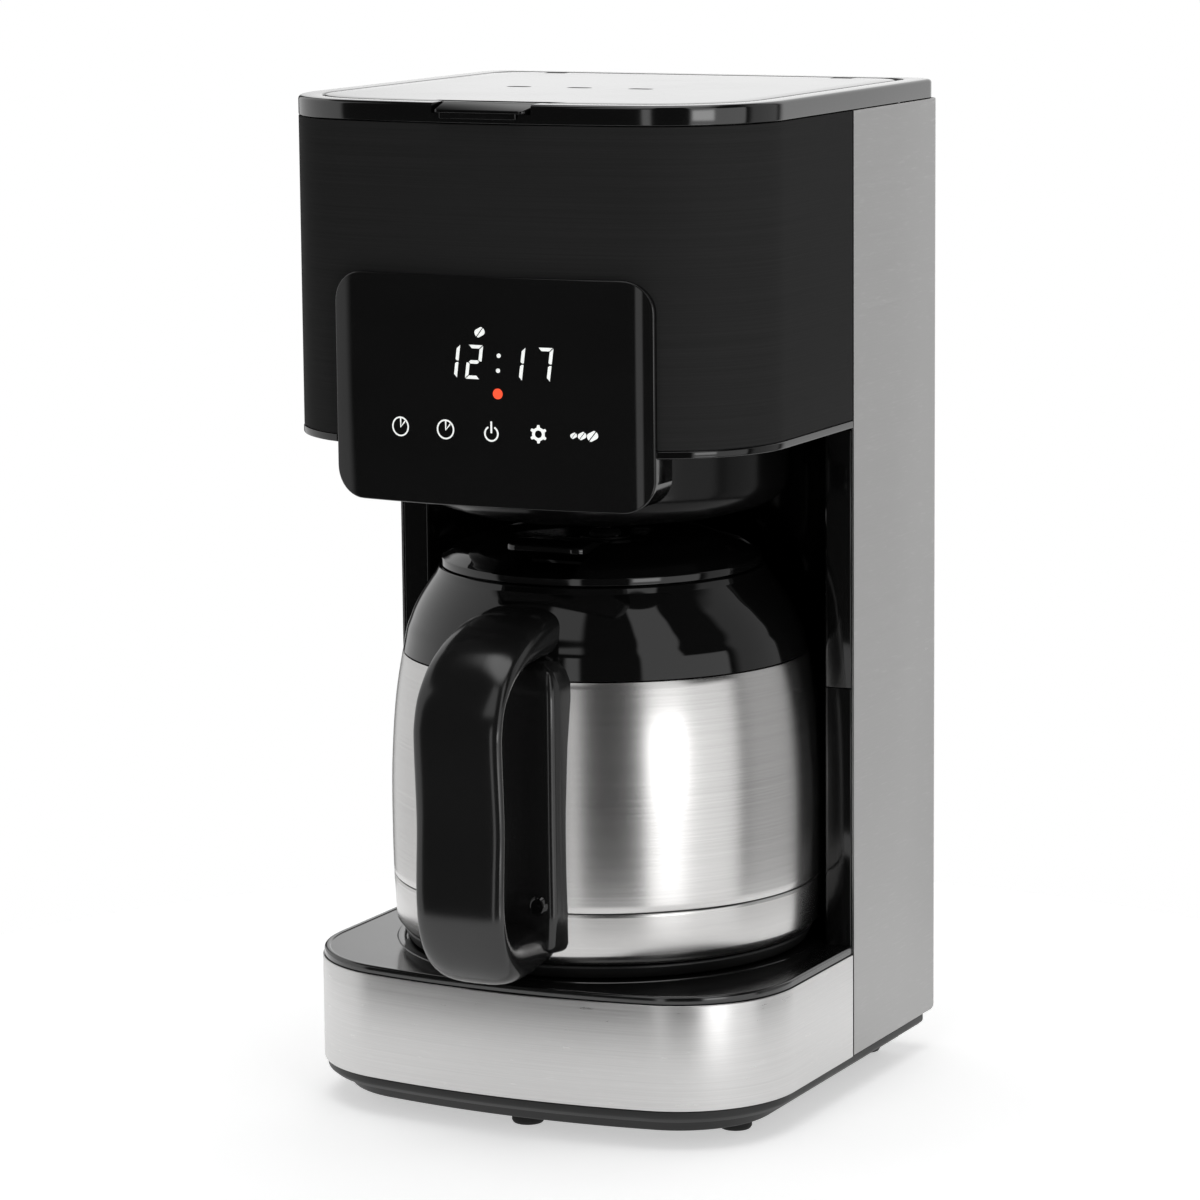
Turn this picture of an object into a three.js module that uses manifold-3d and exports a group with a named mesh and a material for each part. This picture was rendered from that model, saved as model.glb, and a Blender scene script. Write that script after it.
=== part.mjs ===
// Drip coffee maker with a steel vacuum jug. Millimetres, +Z up, the front faces -Y.
// The origin is the middle of the footprint of the whole object, on the surface it stands on.
import * as THREE from 'three';
import { mergeVertices } from 'three/addons/utils/BufferGeometryUtils.js';
import Module from 'manifold-3d';

const wasm = await Module();
wasm.setup();

// ---- driving dimensions ----------------------------------------------------
const GAP = 0.3; // clearance between parts that touch
const ROUND = 28; // sides of a large round
const JUG_ROUND = 36;
const WIDTH = 181.6;
const BACK = 90; // rear panel face, measured from the middle of the body
const BASE_FRONT = 90;
const HEAD_FRONT = 96;
const BOW = 312; // radius of the gently bowed front
const FRONT_CORNER = 44;
const BACK_CORNER = 4;
const HEEL = 8; // rounding of the lower rear edge, seen from the side
const HALF = WIDTH / 2;
const SHEET = 0.8; // steel sheet

const FOOT_H = 4;
const PLINTH_Z = 4.3;
const BAND_Z0 = 14;
const BAND_Z1 = 51.5;
const DECK_Z = 54.5; // top of the deck's rim and of the jug's seat
const DISH_Z = 53.7; // floor of the deck between them
const TRIM_Z = 241.7; // lowest edge of the head
const HEAD_Z0 = 244.6;
const HEAD_Z1 = 353;
const TOP_Z = 360;
const SPLIT_Z = 148.2; // joint between the lower and upper column liners
const COLUMN_Y = 12.7; // front edge of the column

const JUG_Y = -3; // axis of the jug
const NICHE_R = 80.6; // round niche around the jug
const LINER_T = 2;

const BREW_Y = -3; // axis of the filter
const HOUSING_R = 66;
const HOUSING_Z0 = 211;
const HOUSING_Z1 = 336;

const PANEL_W = 121;
const PANEL_Z0 = 224.5;
const PANEL_Z1 = 302;
const PANEL_PROUD = 3;

const HINGE_X = 58; // middle of each of the lid's two hinges
const HINGE_Y = 78.5;
const HINGE_Z = 357.5;
const LUG_HALF = 4; // half the width of the hinge's middle knuckle
const KNUCKLE_R = 2.5;
const PIN_R = 1.25;

const HANDLE_FRONT = 120.6; // front of the jug's handle
const GLAND_REACH = 96; // how far the cord gland stands behind the middle of the body
const GLAND_X = -52;
const GLAND_Z = 34;
const FAR = 200; // beyond every face of the object
const CENTRE_Y = (HANDLE_FRONT - GLAND_REACH) / 2;

// ---- solids ----------------------------------------------------------------
function solidOf(geometry) {
  const bare = geometry.clone();
  bare.deleteAttribute('normal');
  bare.deleteAttribute('uv');
  const merged = mergeVertices(bare, 1e-4);
  const vertProperties = new Float32Array(merged.attributes.position.array);
  const triVerts = new Uint32Array(merged.index.array);
  return new wasm.Manifold(new wasm.Mesh({ numProp: 3, vertProperties, triVerts }));
}

function geometryOf(solid) {
  const mesh = solid.getMesh();
  const geometry = new THREE.BufferGeometry();
  geometry.setAttribute('position', new THREE.BufferAttribute(new Float32Array(mesh.vertProperties), 3));
  geometry.setIndex(new THREE.BufferAttribute(new Uint32Array(mesh.triVerts), 1));
  geometry.computeVertexNormals();
  return geometry;
}

function extruded(shape, depth, curveSegments) {
  return new THREE.ExtrudeGeometry(shape, { depth, bevelEnabled: false, curveSegments });
}

// A flat outline in x and y, from z0 up to z1.
function prism(shape, z0, z1, segments = 6) {
  const geometry = extruded(shape, z1 - z0, segments);
  geometry.translate(0, 0, z0);
  return solidOf(geometry);
}

// An outline in y (first) and z (second), from x0 to x1.
function prismX(shape, x0, x1, segments = 8) {
  const geometry = extruded(shape, x1 - x0, segments);
  geometry.applyMatrix4(new THREE.Matrix4().set(0, 0, 1, x0, 1, 0, 0, 0, 0, 1, 0, 0, 0, 0, 0, 1));
  return solidOf(geometry);
}

// An outline in x (first) and z (second), from y0 to y1.
function prismY(shape, y0, y1, segments = 6) {
  const geometry = extruded(shape, y1 - y0, segments);
  geometry.applyMatrix4(new THREE.Matrix4().set(1, 0, 0, 0, 0, 0, -1, y1, 0, 1, 0, 0, 0, 0, 0, 1));
  return solidOf(geometry);
}

function box(x0, x1, y0, y1, z0, z1) {
  const geometry = new THREE.BoxGeometry(x1 - x0, y1 - y0, z1 - z0);
  geometry.translate((x0 + x1) / 2, (y0 + y1) / 2, (z0 + z1) / 2);
  return solidOf(geometry);
}

// A block across the whole width and height of the object.
function between(y0, y1) {
  return box(-FAR, FAR, y0, y1, -FAR, 3 * FAR);
}

// A profile of [radius, z] pairs turned about the upright line through (x, y).
function turned(profile, x, y, segments = ROUND) {
  const points = profile.map(([r, z]) => new THREE.Vector2(r, z));
  const geometry = new THREE.LatheGeometry(points, segments);
  geometry.rotateX(Math.PI / 2);
  geometry.translate(x, y, 0);
  return solidOf(geometry);
}

function disc(x, y, radius, z0, z1, segments = ROUND) {
  return turned([[0, z0], [radius, z0], [radius, z1], [0, z1]], x, y, segments);
}

function ring(x, y, inner, outer, z0, z1, segments = ROUND) {
  return turned([[inner, z0], [outer, z0], [outer, z1], [inner, z1], [inner, z0]], x, y, segments);
}

// A round bar along x.
function barX(x0, x1, y, z, radius, segments = 20) {
  const geometry = new THREE.CylinderGeometry(radius, radius, x1 - x0, segments);
  geometry.rotateZ(Math.PI / 2);
  geometry.translate((x0 + x1) / 2, y, z);
  return solidOf(geometry);
}

// A round bar along y.
function barY(x, y0, y1, z, radius, segments = 20) {
  const geometry = new THREE.CylinderGeometry(radius, radius, y1 - y0, segments);
  geometry.translate(x, (y0 + y1) / 2, z);
  return solidOf(geometry);
}

// A round section swept along a smooth path.
function swept(points, radius, steps, segments = 8) {
  const section = new THREE.Shape();
  section.absarc(0, 0, radius, 0, Math.PI * 2);
  const stations = points.map(([x, y, z]) => new THREE.Vector3(x, y, z));
  const geometry = new THREE.ExtrudeGeometry(section, {
    extrudePath: new THREE.CatmullRomCurve3(stations, false, 'centripetal'),
    steps,
    bevelEnabled: false,
    curveSegments: segments,
  });
  return solidOf(geometry);
}

// ---- outlines --------------------------------------------------------------
// The body's outline seen from above, drawn in from the outer skin by `inset`.
function bodyShape(inset, front) {
  const w = HALF - inset;
  const r = FRONT_CORNER - inset;
  const rb = Math.max(BACK_CORNER - inset, 1);
  const bow = BOW - inset;
  const yb = BACK - inset;
  const turn = Math.asin((w - r) / (bow - r));
  const bowY = -front + inset + bow;
  const cornerY = bowY - (bow - r) * Math.cos(turn);
  const shape = new THREE.Shape();
  shape.moveTo(w, cornerY);
  shape.lineTo(w, yb - rb);
  shape.absarc(w - rb, yb - rb, rb, 0, Math.PI / 2, false);
  shape.lineTo(rb - w, yb);
  shape.absarc(rb - w, yb - rb, rb, Math.PI / 2, Math.PI, false);
  shape.lineTo(-w, cornerY);
  shape.absarc(r - w, cornerY, r, Math.PI, 1.5 * Math.PI - turn, false);
  shape.absarc(0, bowY, bow, 1.5 * Math.PI - turn, 1.5 * Math.PI + turn, false);
  shape.absarc(w - r, cornerY, r, 1.5 * Math.PI + turn, 2 * Math.PI, false);
  return shape;
}

function body(inset, front, z0, z1) {
  return prism(bodyShape(inset, front), z0, z1);
}

function skin(inset, thickness, front, z0, z1) {
  return body(inset, front, z0, z1).subtract(body(inset + thickness, front, z0 - 1, z1 + 1));
}

function roundedRect(w, h, cx, cy, r) {
  const x0 = cx - w / 2;
  const x1 = cx + w / 2;
  const y0 = cy - h / 2;
  const y1 = cy + h / 2;
  const shape = new THREE.Shape();
  shape.moveTo(x1, y0 + r);
  shape.lineTo(x1, y1 - r);
  shape.absarc(x1 - r, y1 - r, r, 0, Math.PI / 2, false);
  shape.lineTo(x0 + r, y1);
  shape.absarc(x0 + r, y1 - r, r, Math.PI / 2, Math.PI, false);
  shape.lineTo(x0, y0 + r);
  shape.absarc(x0 + r, y0 + r, r, Math.PI, 1.5 * Math.PI, false);
  shape.lineTo(x1 - r, y0);
  shape.absarc(x1 - r, y0 + r, r, 1.5 * Math.PI, 2 * Math.PI, false);
  return shape;
}

function polygon(points) {
  return new THREE.Shape(points.map(([a, b]) => new THREE.Vector2(a, b)));
}

// ---- the scene graph -------------------------------------------------------
const part = new THREE.Group();
const stand = new THREE.Group();
stand.position.set(0, CENTRE_Y, 0);
part.add(stand);

const GLOSS_BLACK = { color: 0x0c0c0d, roughness: 0.15, metalness: 0 };
const MATTE_BLACK = { color: 0x17171a, roughness: 0.55, metalness: 0 };
const BLACK_SHEET = { color: 0x262628, roughness: 0.4, metalness: 0.6 };
const BRUSHED = { color: 0xb4b4b2, roughness: 0.32, metalness: 1 };
const RUBBER = { color: 0x202020, roughness: 0.8, metalness: 0 };
const ALUMINIUM = { color: 0xc4c6c8, roughness: 0.4, metalness: 1 };
const SILICONE = { color: 0xd8d4cc, roughness: 0.7, metalness: 0 };
const BOARD = { color: 0x1f5a35, roughness: 0.6, metalness: 0 };

function add(name, look, solid) {
  const mesh = new THREE.Mesh(geometryOf(solid), new THREE.MeshStandardMaterial(look));
  mesh.name = name;
  stand.add(mesh);
}

// ---- base ------------------------------------------------------------------
const HEEL_Y = BACK - HEEL; // where the lower rear rounding starts

// What the rounded lower rear edge takes off a part that lies `inset` inside the outer skin.
function heelCut(inset) {
  const z = BAND_Z0 + HEEL;
  const corner = new THREE.Shape();
  corner.moveTo(BACK + 1, z);
  corner.lineTo(BACK - inset, z);
  corner.absarc(HEEL_Y, z, HEEL - inset, 0, -Math.PI / 2, true);
  corner.lineTo(HEEL_Y, BAND_Z0 - 1);
  corner.lineTo(BACK + 1, BAND_Z0 - 1);
  return prismX(corner, -FAR, FAR);
}

function basePan() {
  const lip = body(1.2, BASE_FRONT, 9.5, BAND_Z0 - GAP);
  const foot = body(6.5, BASE_FRONT, PLINTH_Z, 9.6);
  const hollow = body(9, BASE_FRONT, 6.8, BAND_Z0 + 1).subtract(between(HEEL_Y - 14, FAR));
  const heel = polygon([[FAR, 0], [HEEL_Y - 8, 0], [HEEL_Y, BAND_Z0], [FAR, BAND_Z0]]);
  return lip.add(foot).subtract(hollow).subtract(prismX(heel, -FAR, FAR));
}

const FEET = {
  foot_front_middle: [0, -69],
  foot_front_left: [-70, -46],
  foot_front_right: [70, -46],
  foot_rear_left: [-70, 70],
  foot_rear_right: [70, 70],
};

function baseHousing() {
  const inset = SHEET + GAP;
  const wall = skin(inset, 2.2, BASE_FRONT, BAND_Z0, BAND_Z1 - 0.2);
  const heel = body(inset, BASE_FRONT, BAND_Z0, BAND_Z0 + HEEL).subtract(between(-FAR, HEEL_Y - 6));
  return wall.add(heel).subtract(heelCut(inset)).subtract(glandHole());
}

function glandHole() {
  return barY(GLAND_X, BACK - 10, BACK + 10, GLAND_Z, 6.4, 24);
}

function baseBand() {
  return skin(0, SHEET, BASE_FRONT, BAND_Z0, BAND_Z1).subtract(between(COLUMN_Y - 1, FAR));
}

// The deck carries the jug: a plate with a raised rim and a round seat that locates the jug's foot.
function baseDeck() {
  const plate = body(0.6, BASE_FRONT, BAND_Z1 + GAP, DECK_Z).subtract(between(COLUMN_Y - GAP, FAR));
  const tongue = disc(0, JUG_Y, NICHE_R - GAP, BAND_Z1 + GAP, DISH_Z);
  const dish = body(4.2, BASE_FRONT, DISH_Z, DECK_Z + 1);
  const seat = ring(0, JUG_Y, 60, 78.5, DISH_Z - 0.2, DECK_Z);
  return plate.add(tongue).subtract(dish).add(seat);
}

add('base_pan', MATTE_BLACK, basePan());
for (const [name, [x, y]] of Object.entries(FEET)) {
  add(name, RUBBER, turned([[0, 0], [5, 0], [5.8, 1], [5.8, FOOT_H], [0, FOOT_H]], x, y, 16));
}
add('base_housing', MATTE_BLACK, baseHousing());
add('base_steel_band', BRUSHED, baseBand());
add('base_deck', GLOSS_BLACK, baseDeck());

// ---- heating, inside the base ----------------------------------------------
const HEATER_Z = 30;

function heaterBlock() {
  const half = [[30, -44, HEATER_Z], [46, -12, HEATER_Z], [46, 30, HEATER_Z]];
  const other = half.map(([x, y, z]) => [-x, y, z]).reverse();
  return swept([...other, [0, -54, HEATER_Z], ...half], 7, 24, 5);
}

add('heater_tube', ALUMINIUM, heaterBlock());
add('thermostat', BRUSHED, disc(0, -54, 8, HEATER_Z + 7.4, HEATER_Z + 14, 24));
add('thermal_fuse', GLOSS_BLACK, barY(34, -8, 12, HEATER_Z + 2, 2.2, 12));
add('power_board', BOARD, box(-34, 34, 4, 66, 16, 17.6));
add('cord_gland', RUBBER, barY(GLAND_X, BACK - 5.5, GLAND_REACH, GLAND_Z, 6, 24)
  .subtract(barY(GLAND_X, BACK - 7, GLAND_REACH + 2, GLAND_Z, 3.4, 16)));

// ---- column ----------------------------------------------------------------
function nicheOutline(inner, outer) {
  const half = Math.asin((COLUMN_Y - JUG_Y) / outer);
  const halfIn = Math.asin((COLUMN_Y - JUG_Y) / inner);
  const shape = new THREE.Shape();
  shape.moveTo(HALF - SHEET - GAP, COLUMN_Y);
  shape.lineTo(HALF - SHEET - GAP, COLUMN_Y + LINER_T);
  shape.lineTo(outer * Math.cos(half) + 0.6, COLUMN_Y + LINER_T);
  shape.absarc(0, JUG_Y, outer, half + 0.03, Math.PI - half - 0.03, false);
  shape.lineTo(-outer * Math.cos(half) - 0.6, COLUMN_Y + LINER_T);
  shape.lineTo(SHEET + GAP - HALF, COLUMN_Y + LINER_T);
  shape.lineTo(SHEET + GAP - HALF, COLUMN_Y);
  shape.lineTo(-inner * Math.cos(halfIn), COLUMN_Y);
  shape.absarc(0, JUG_Y, inner, Math.PI - halfIn, halfIn, true);
  return shape;
}

function liner(z0, z1) {
  return prism(nicheOutline(NICHE_R, NICHE_R + LINER_T), z0, z1, 28);
}

const PANEL_RETURN = 75.6; // where the side panel's rear return ends

function sidePanel(side) {
  const whole = skin(0, SHEET, BASE_FRONT, BAND_Z0 + GAP, HEAD_Z1 - 1.2).subtract(heelCut(0));
  const keep = side > 0 ? box(PANEL_RETURN, FAR, COLUMN_Y, FAR, 0, 2 * FAR)
    : box(-FAR, -PANEL_RETURN, COLUMN_Y, FAR, 0, 2 * FAR);
  return whole.intersect(keep);
}

function rearPanel() {
  const half = PANEL_RETURN - GAP;
  return box(-half, half, 87.4, BACK - 0.2, BAND_Z1 + GAP, HEAD_Z1 - 1.2);
}

function rearCover() {
  const half = PANEL_RETURN - GAP;
  return box(-half, half, BACK - SHEET, BACK - 0.1, BAND_Z0 + HEEL + 1, BAND_Z1).subtract(glandHole());
}

add('column_liner_lower', GLOSS_BLACK, liner(DISH_Z + GAP, SPLIT_Z - GAP / 2));
add('column_liner_upper', GLOSS_BLACK, liner(SPLIT_Z + GAP / 2, TRIM_Z - 1));
add('side_panel_left', BRUSHED, sidePanel(-1));
add('side_panel_right', BRUSHED, sidePanel(1));
add('rear_panel', MATTE_BLACK, rearPanel());
add('rear_base_cover', MATTE_BLACK, rearCover());

// ---- head ------------------------------------------------------------------
function panelPocket(grow, y1) {
  const w = PANEL_W - 12 + grow * 2;
  return box(-w / 2, w / 2, -130, y1, PANEL_Z0 - 10, 293 + grow);
}

function headHousing() {
  const wall = skin(SHEET + GAP, 2, HEAD_FRONT, TRIM_Z, HEAD_Z1 - GAP);
  const floor = body(SHEET + GAP + 1, HEAD_FRONT, TRIM_Z, TRIM_Z + 2.5);
  const behind = box(-74, 74, 84.6, 86.9, TRIM_Z, HEAD_Z1 - GAP);
  return wall.add(floor)
    .subtract(between(86.9, FAR))
    .add(behind)
    .subtract(box(-5, 5, 76, 88, 200, 266))
    .subtract(disc(0, BREW_Y, HOUSING_R + GAP, 200, 260))
    .subtract(panelPocket(GAP, -76 + GAP))
    .subtract(body(LEG_INSET - GAP, BASE_FRONT, 200, 260).intersect(between(24, 84)));
}

function headSheet() {
  return skin(0, SHEET, HEAD_FRONT, HEAD_Z0, HEAD_Z1)
    .subtract(between(COLUMN_Y - 1, FAR))
    .subtract(panelPocket(GAP, -60));
}

// The trim bead under the head sheet, interrupted by the control panel.
function headTrim(side) {
  const bead = skin(-0.2, 1, HEAD_FRONT, TRIM_Z, HEAD_Z0 - GAP);
  const edge = PANEL_W / 2 + GAP;
  const keep = side > 0 ? box(edge, FAR, -FAR, COLUMN_Y - 1, 0, 2 * FAR)
    : box(-FAR, -edge, -FAR, COLUMN_Y - 1, 0, 2 * FAR);
  return bead.intersect(keep);
}

const LEG_INSET = 4.4; // outer face of the water tank inside the panels
const LID_INSET = 9; // edge of the lid inside the rim
const TAB_W = 36;
const LID_BACK_CLEAR = 83; // the lid's rear edge swings inside this

function topRim() {
  const seam = 0.6;
  const holeHalf = HALF - LID_INSET + seam;
  const tabHalf = TAB_W / 2 + 0.8;
  const outer = body(0, HEAD_FRONT, HEAD_Z1 + GAP, TOP_Z);
  const hole = body(LID_INSET - seam, HEAD_FRONT, HEAD_Z1 - 1, TOP_Z + 1)
    .add(box(-holeHalf, holeHalf, 60, LID_BACK_CLEAR, HEAD_Z1 - 1, TOP_Z + 1));
  const notch = box(-tabHalf, tabHalf, -FAR, -80, TOP_Z - 3.4, TOP_Z + 1);
  let rim = outer.subtract(hole).subtract(notch);
  for (const x of [-HINGE_X, HINGE_X]) {
    const lug = barX(x - LUG_HALF, x + LUG_HALF, HINGE_Y, HINGE_Z, KNUCKLE_R);
    const armBack = LID_BACK_CLEAR + 1;
    const arm = box(x - LUG_HALF, x + LUG_HALF, HINGE_Y, armBack, HINGE_Z - KNUCKLE_R, HINGE_Z + 0.5);
    rim = rim.add(lug.add(arm).subtract(barX(x - 9, x + 9, HINGE_Y, HINGE_Z, PIN_R + 0.15)));
  }
  return rim;
}

add('head_housing', MATTE_BLACK, headHousing());
add('head_sheet', BLACK_SHEET, headSheet());
add('head_trim_left', GLOSS_BLACK, headTrim(-1));
add('head_trim_right', GLOSS_BLACK, headTrim(1));
add('top_rim', GLOSS_BLACK, topRim());

// ---- control panel ---------------------------------------------------------
function bowedSlab(proud0, proud1, z0, z1) {
  return body(-proud1, HEAD_FRONT, z0, z1).subtract(body(-proud0, HEAD_FRONT, z0 - 1, z1 + 1));
}

function panelFace(grow) {
  const h = PANEL_Z1 - PANEL_Z0;
  return prismY(roundedRect(PANEL_W + grow * 2, h + grow * 2, 0, PANEL_Z0 + h / 2, 11 + grow), -130, -70);
}

const POCKET = { x: 50, z0: 232, z1: 288 };

function controlHousing() {
  const flange = bowedSlab(GAP, PANEL_PROUD - 1.2, 200, 320).intersect(panelFace(0));
  const skirt = body(-PANEL_PROUD + 1.2, HEAD_FRONT, PANEL_Z0, TRIM_Z - GAP)
    .intersect(box(-PANEL_W / 2, PANEL_W / 2, -130, -76, 200, TRIM_Z - GAP))
    .intersect(panelFace(0));
  const block = body(-1, HEAD_FRONT, PANEL_Z0 + 3, 293)
    .intersect(panelPocket(0, -76))
    .intersect(panelFace(-3));
  const pocket = box(-POCKET.x, POCKET.x, -130, -79, POCKET.z0, POCKET.z1);
  return flange.add(skirt).add(block).subtract(pocket);
}

function controlGlass() {
  return bowedSlab(PANEL_PROUD - 1.2 + GAP / 2, PANEL_PROUD, 200, 320).intersect(panelFace(0));
}

add('control_housing', MATTE_BLACK, controlHousing());
add('control_glass', GLOSS_BLACK, controlGlass());
add('control_board', BOARD, box(-48, 48, -83, -81.4, 234, 286));
add('display_module', MATTE_BLACK, box(-24, 24, -89, -83.3, 258, 284));

// ---- brewing ---------------------------------------------------------------
const SPRING_TOP = 214.4; // ledge in the filter basket that the drip stop's spring pushes against
const SPRING_FOOT = 206.6;

function filterHousing() {
  const r = HOUSING_R;
  const t = 2;
  const outlet = 13;
  return turned([
    [outlet, HOUSING_Z0 - 3], [outlet + t, HOUSING_Z0 - 3], [outlet + t, HOUSING_Z0],
    [50, HOUSING_Z0], [58, HOUSING_Z0 + 1.6], [63.5, HOUSING_Z0 + 6], [r, HOUSING_Z0 + 13],
    [r, HOUSING_Z1], [r - t, HOUSING_Z1], [r - t, HOUSING_Z0 + 13.6],
    [62, HOUSING_Z0 + 7.4], [57.2, HOUSING_Z0 + 3.6], [50, HOUSING_Z0 + t],
    [outlet, HOUSING_Z0 + t], [outlet, HOUSING_Z0 - 3],
  ], 0, BREW_Y);
}

function filterBasket() {
  const bore = 7;
  const stem = 3;
  return turned([
    [bore, 207], [bore + 2, 207], [bore + 2, 214.8], [46, 218.5], [60, 332], [63.2, 332],
    [63.2, 334], [58.4, 334], [44.4, 220.5], [stem, 216.8], [stem, SPRING_TOP], [bore, SPRING_TOP], [bore, 207],
  ], 0, BREW_Y);
}

function permanentFilter() {
  return turned([
    [0, 224], [38, 224], [41.5, 228], [53.5, 322], [56.6, 322],
    [56.6, 324], [51.8, 324], [39.8, 229.4], [36.6, 225.6], [0, 225.6],
  ], 0, BREW_Y);
}

function dripValve() {
  return turned([
    [0, 203.9], [4.2, 203.9], [5.8, 205.4], [5.8, SPRING_FOOT], [2.2, SPRING_FOOT], [2.2, 217.2],
    [11, 217.9], [11, 220], [0, 220],
  ], 0, BREW_Y, 20);
}

function dripSpring() {
  const turns = 3;
  const steps = turns * 10;
  const radius = 4.6;
  const wire = 0.45;
  const z0 = SPRING_FOOT + GAP / 2 + wire;
  const z1 = SPRING_TOP - GAP / 2 - wire;
  const points = [];
  for (let i = 0; i <= steps; i += 1) {
    const angle = (i / steps) * turns * Math.PI * 2;
    points.push([radius * Math.cos(angle), BREW_Y + radius * Math.sin(angle), z0 + ((z1 - z0) * i) / steps]);
  }
  return swept(points, wire, steps, 3);
}

add('filter_housing', MATTE_BLACK, filterHousing());
add('filter_basket', MATTE_BLACK, filterBasket());
add('permanent_filter', BRUSHED, permanentFilter());
add('drip_stop_valve', SILICONE, dripValve());

// ---- water -----------------------------------------------------------------
const TANK_Z0 = 98;
const TANK_Z1 = 338;
const TANK_SHELF_Z = 247;

// Solid of the tank, drawn in from its outer faces by `inset`.
function tankSolid(inset) {
  const legs = body(LEG_INSET + inset, BASE_FRONT, TANK_Z0 + inset, TANK_SHELF_Z + 6)
    .intersect(between(24 + inset, 84 - inset))
    .subtract(disc(0, JUG_Y, NICHE_R + LINER_T + 0.8 + inset, 0, 400))
    .subtract(box(-32 - inset, 32 + inset, 0, 100, 0, TANK_SHELF_Z + inset));
  const head = body(LEG_INSET + inset, BASE_FRONT, TANK_SHELF_Z + inset, TANK_Z1 + (inset > 0 ? 1 : 0))
    .intersect(between(14 + inset, 84 - inset))
    .subtract(disc(0, BREW_Y, HOUSING_R + 1 + inset, 0, 400));
  return legs.add(head);
}

function waterTank() {
  const notch = box(-8, 8, 73, 90, 200, 360);
  const notchWall = box(-10, 10, 71, 92, 200, 360);
  const outer = tankSolid(0).subtract(notch);
  const inner = tankSolid(2).subtract(notchWall);
  const spout = disc(56, 66, 5.4, TANK_Z0 - 4, TANK_Z0 + 1, 20);
  const outlet = disc(56, 66, 3, TANK_Z0 - 5, TANK_Z0 + 10, 20);
  return outer.subtract(inner).add(spout).subtract(outlet);
}

function coldHose() {
  const path = [
    [56, 66, 93], [56, 66, 72], [56, 66, 54], [54, 60, 38], [47, 46, HEATER_Z], [46, 31.5, HEATER_Z],
  ];
  return swept(path, 4, 18, 4);
}

function riserTube() {
  const path = [[-46, 31.5, HEATER_Z], [-44, 46, HEATER_Z], [-28, 70, 31], [-8, 82, 38], [0, 83.8, 56],
    [0, 83.8, 110], [0, 83.8, 180], [0, 83.8, 242], [0, 79.4, 262], [0, 78.4, 300], [0, 78.4, 334]];
  return swept(path, 2.4, 44, 3);
}

add('water_tank', { color: 0x3a3f44, roughness: 0.25, metalness: 0 }, waterTank());
add('check_valve', SILICONE, ring(56, 66, 1.4, 2.7, TANK_Z0 - 3.6, TANK_Z0 + 4, 20));
add('cold_hose', SILICONE, coldHose());
add('riser_tube', SILICONE, riserTube());
add('riser_seal', SILICONE, ring(0, 78.4, 1.6, 4.6, 334.3, 341, 20));

// ---- lid -------------------------------------------------------------------
const LID_T = 3;
const LID_Z0 = TOP_Z - LID_T;

function lidTab() {
  const half = TAB_W / 2;
  const tab = polygon([
    [-half, -97.6], [half, -97.6], [half, -86], [half + 8, -80], [-half - 8, -80], [-half, -86],
  ]);
  return prism(tab, LID_Z0, TOP_Z);
}

function topLid() {
  const bed = body(LID_INSET, HEAD_FRONT, LID_Z0, TOP_Z);
  const skirt = body(LID_INSET + 4, HEAD_FRONT, LID_Z0 - 5, LID_Z0 + 1)
    .subtract(body(LID_INSET + 6, HEAD_FRONT, LID_Z0 - 6, LID_Z0))
    .subtract(between(70, FAR));
  let lid = bed.add(lidTab()).add(skirt);
  for (const x of [-21, 0, 21]) {
    lid = lid.subtract(prism(roundedRect(11.5, 2.6, x, -8, 1.2), LID_Z0 - 2, TOP_Z + 1, 3));
  }
  for (const x of [-HINGE_X, HINGE_X]) {
    const slot = LUG_HALF + GAP;
    const boss = barX(x - 2 * LUG_HALF, x + 2 * LUG_HALF, HINGE_Y, HINGE_Z, KNUCKLE_R)
      .subtract(box(x - slot, x + slot, 70, 90, 350, 370));
    const notch = box(x - slot, x + slot, HINGE_Y - KNUCKLE_R - 0.7, 90, LID_Z0 - 4, TOP_Z + 1);
    const bore = barX(x - 7.2, x + 7.2, HINGE_Y, HINGE_Z, PIN_R + 0.07);
    lid = lid.add(boss).subtract(notch).subtract(bore);
  }
  return lid;
}

// The water channel under the lid: a closed trough from the riser to the middle of the filter.
function waterChannel() {
  const z0 = 341.6;
  const trough = box(-7, 7, -14, 75.4, z0 + 1.4, LID_Z0 - GAP);
  const hollow = box(-5, 5, -12, 73.4, z0 + 3.4, LID_Z0 - 2.3);
  const inlet = disc(0, 70, 5, z0, z0 + 2, 20);
  const bore = disc(0, 70, 2, z0 - 1, z0 + 4, 16);
  const outlet = disc(0, BREW_Y, 5, z0 - 3, z0 + 2, 20);
  const outletBore = disc(0, BREW_Y, 3, z0 - 4, z0 + 4, 16);
  return trough.add(inlet).add(outlet).subtract(hollow).subtract(bore).subtract(outletBore);
}

function showerPlate() {
  let plate = turned([
    [5.3, 339.4], [30, 337.4], [33, 337.4], [33, 339.2], [30, 339.2], [5.3, 341.2], [5.3, 339.4],
  ], 0, BREW_Y, 28);
  for (const [radius, count] of [[14, 4], [24, 8]]) {
    for (let i = 0; i < count; i += 1) {
      const angle = (i / count) * Math.PI * 2;
      const x = radius * Math.cos(angle);
      const y = BREW_Y + radius * Math.sin(angle);
      plate = plate.subtract(disc(x, y, 1.2, 330, 345, 6));
    }
  }
  return plate;
}

add('lid', GLOSS_BLACK, topLid());
add('lid_hinge_pin_left', BRUSHED, barX(-HINGE_X - 7, 7 - HINGE_X, HINGE_Y, HINGE_Z, PIN_R));
add('lid_hinge_pin_right', BRUSHED, barX(HINGE_X - 7, HINGE_X + 7, HINGE_Y, HINGE_Z, PIN_R));
add('water_channel', MATTE_BLACK, waterChannel());
add('shower_plate', MATTE_BLACK, showerPlate());

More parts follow.
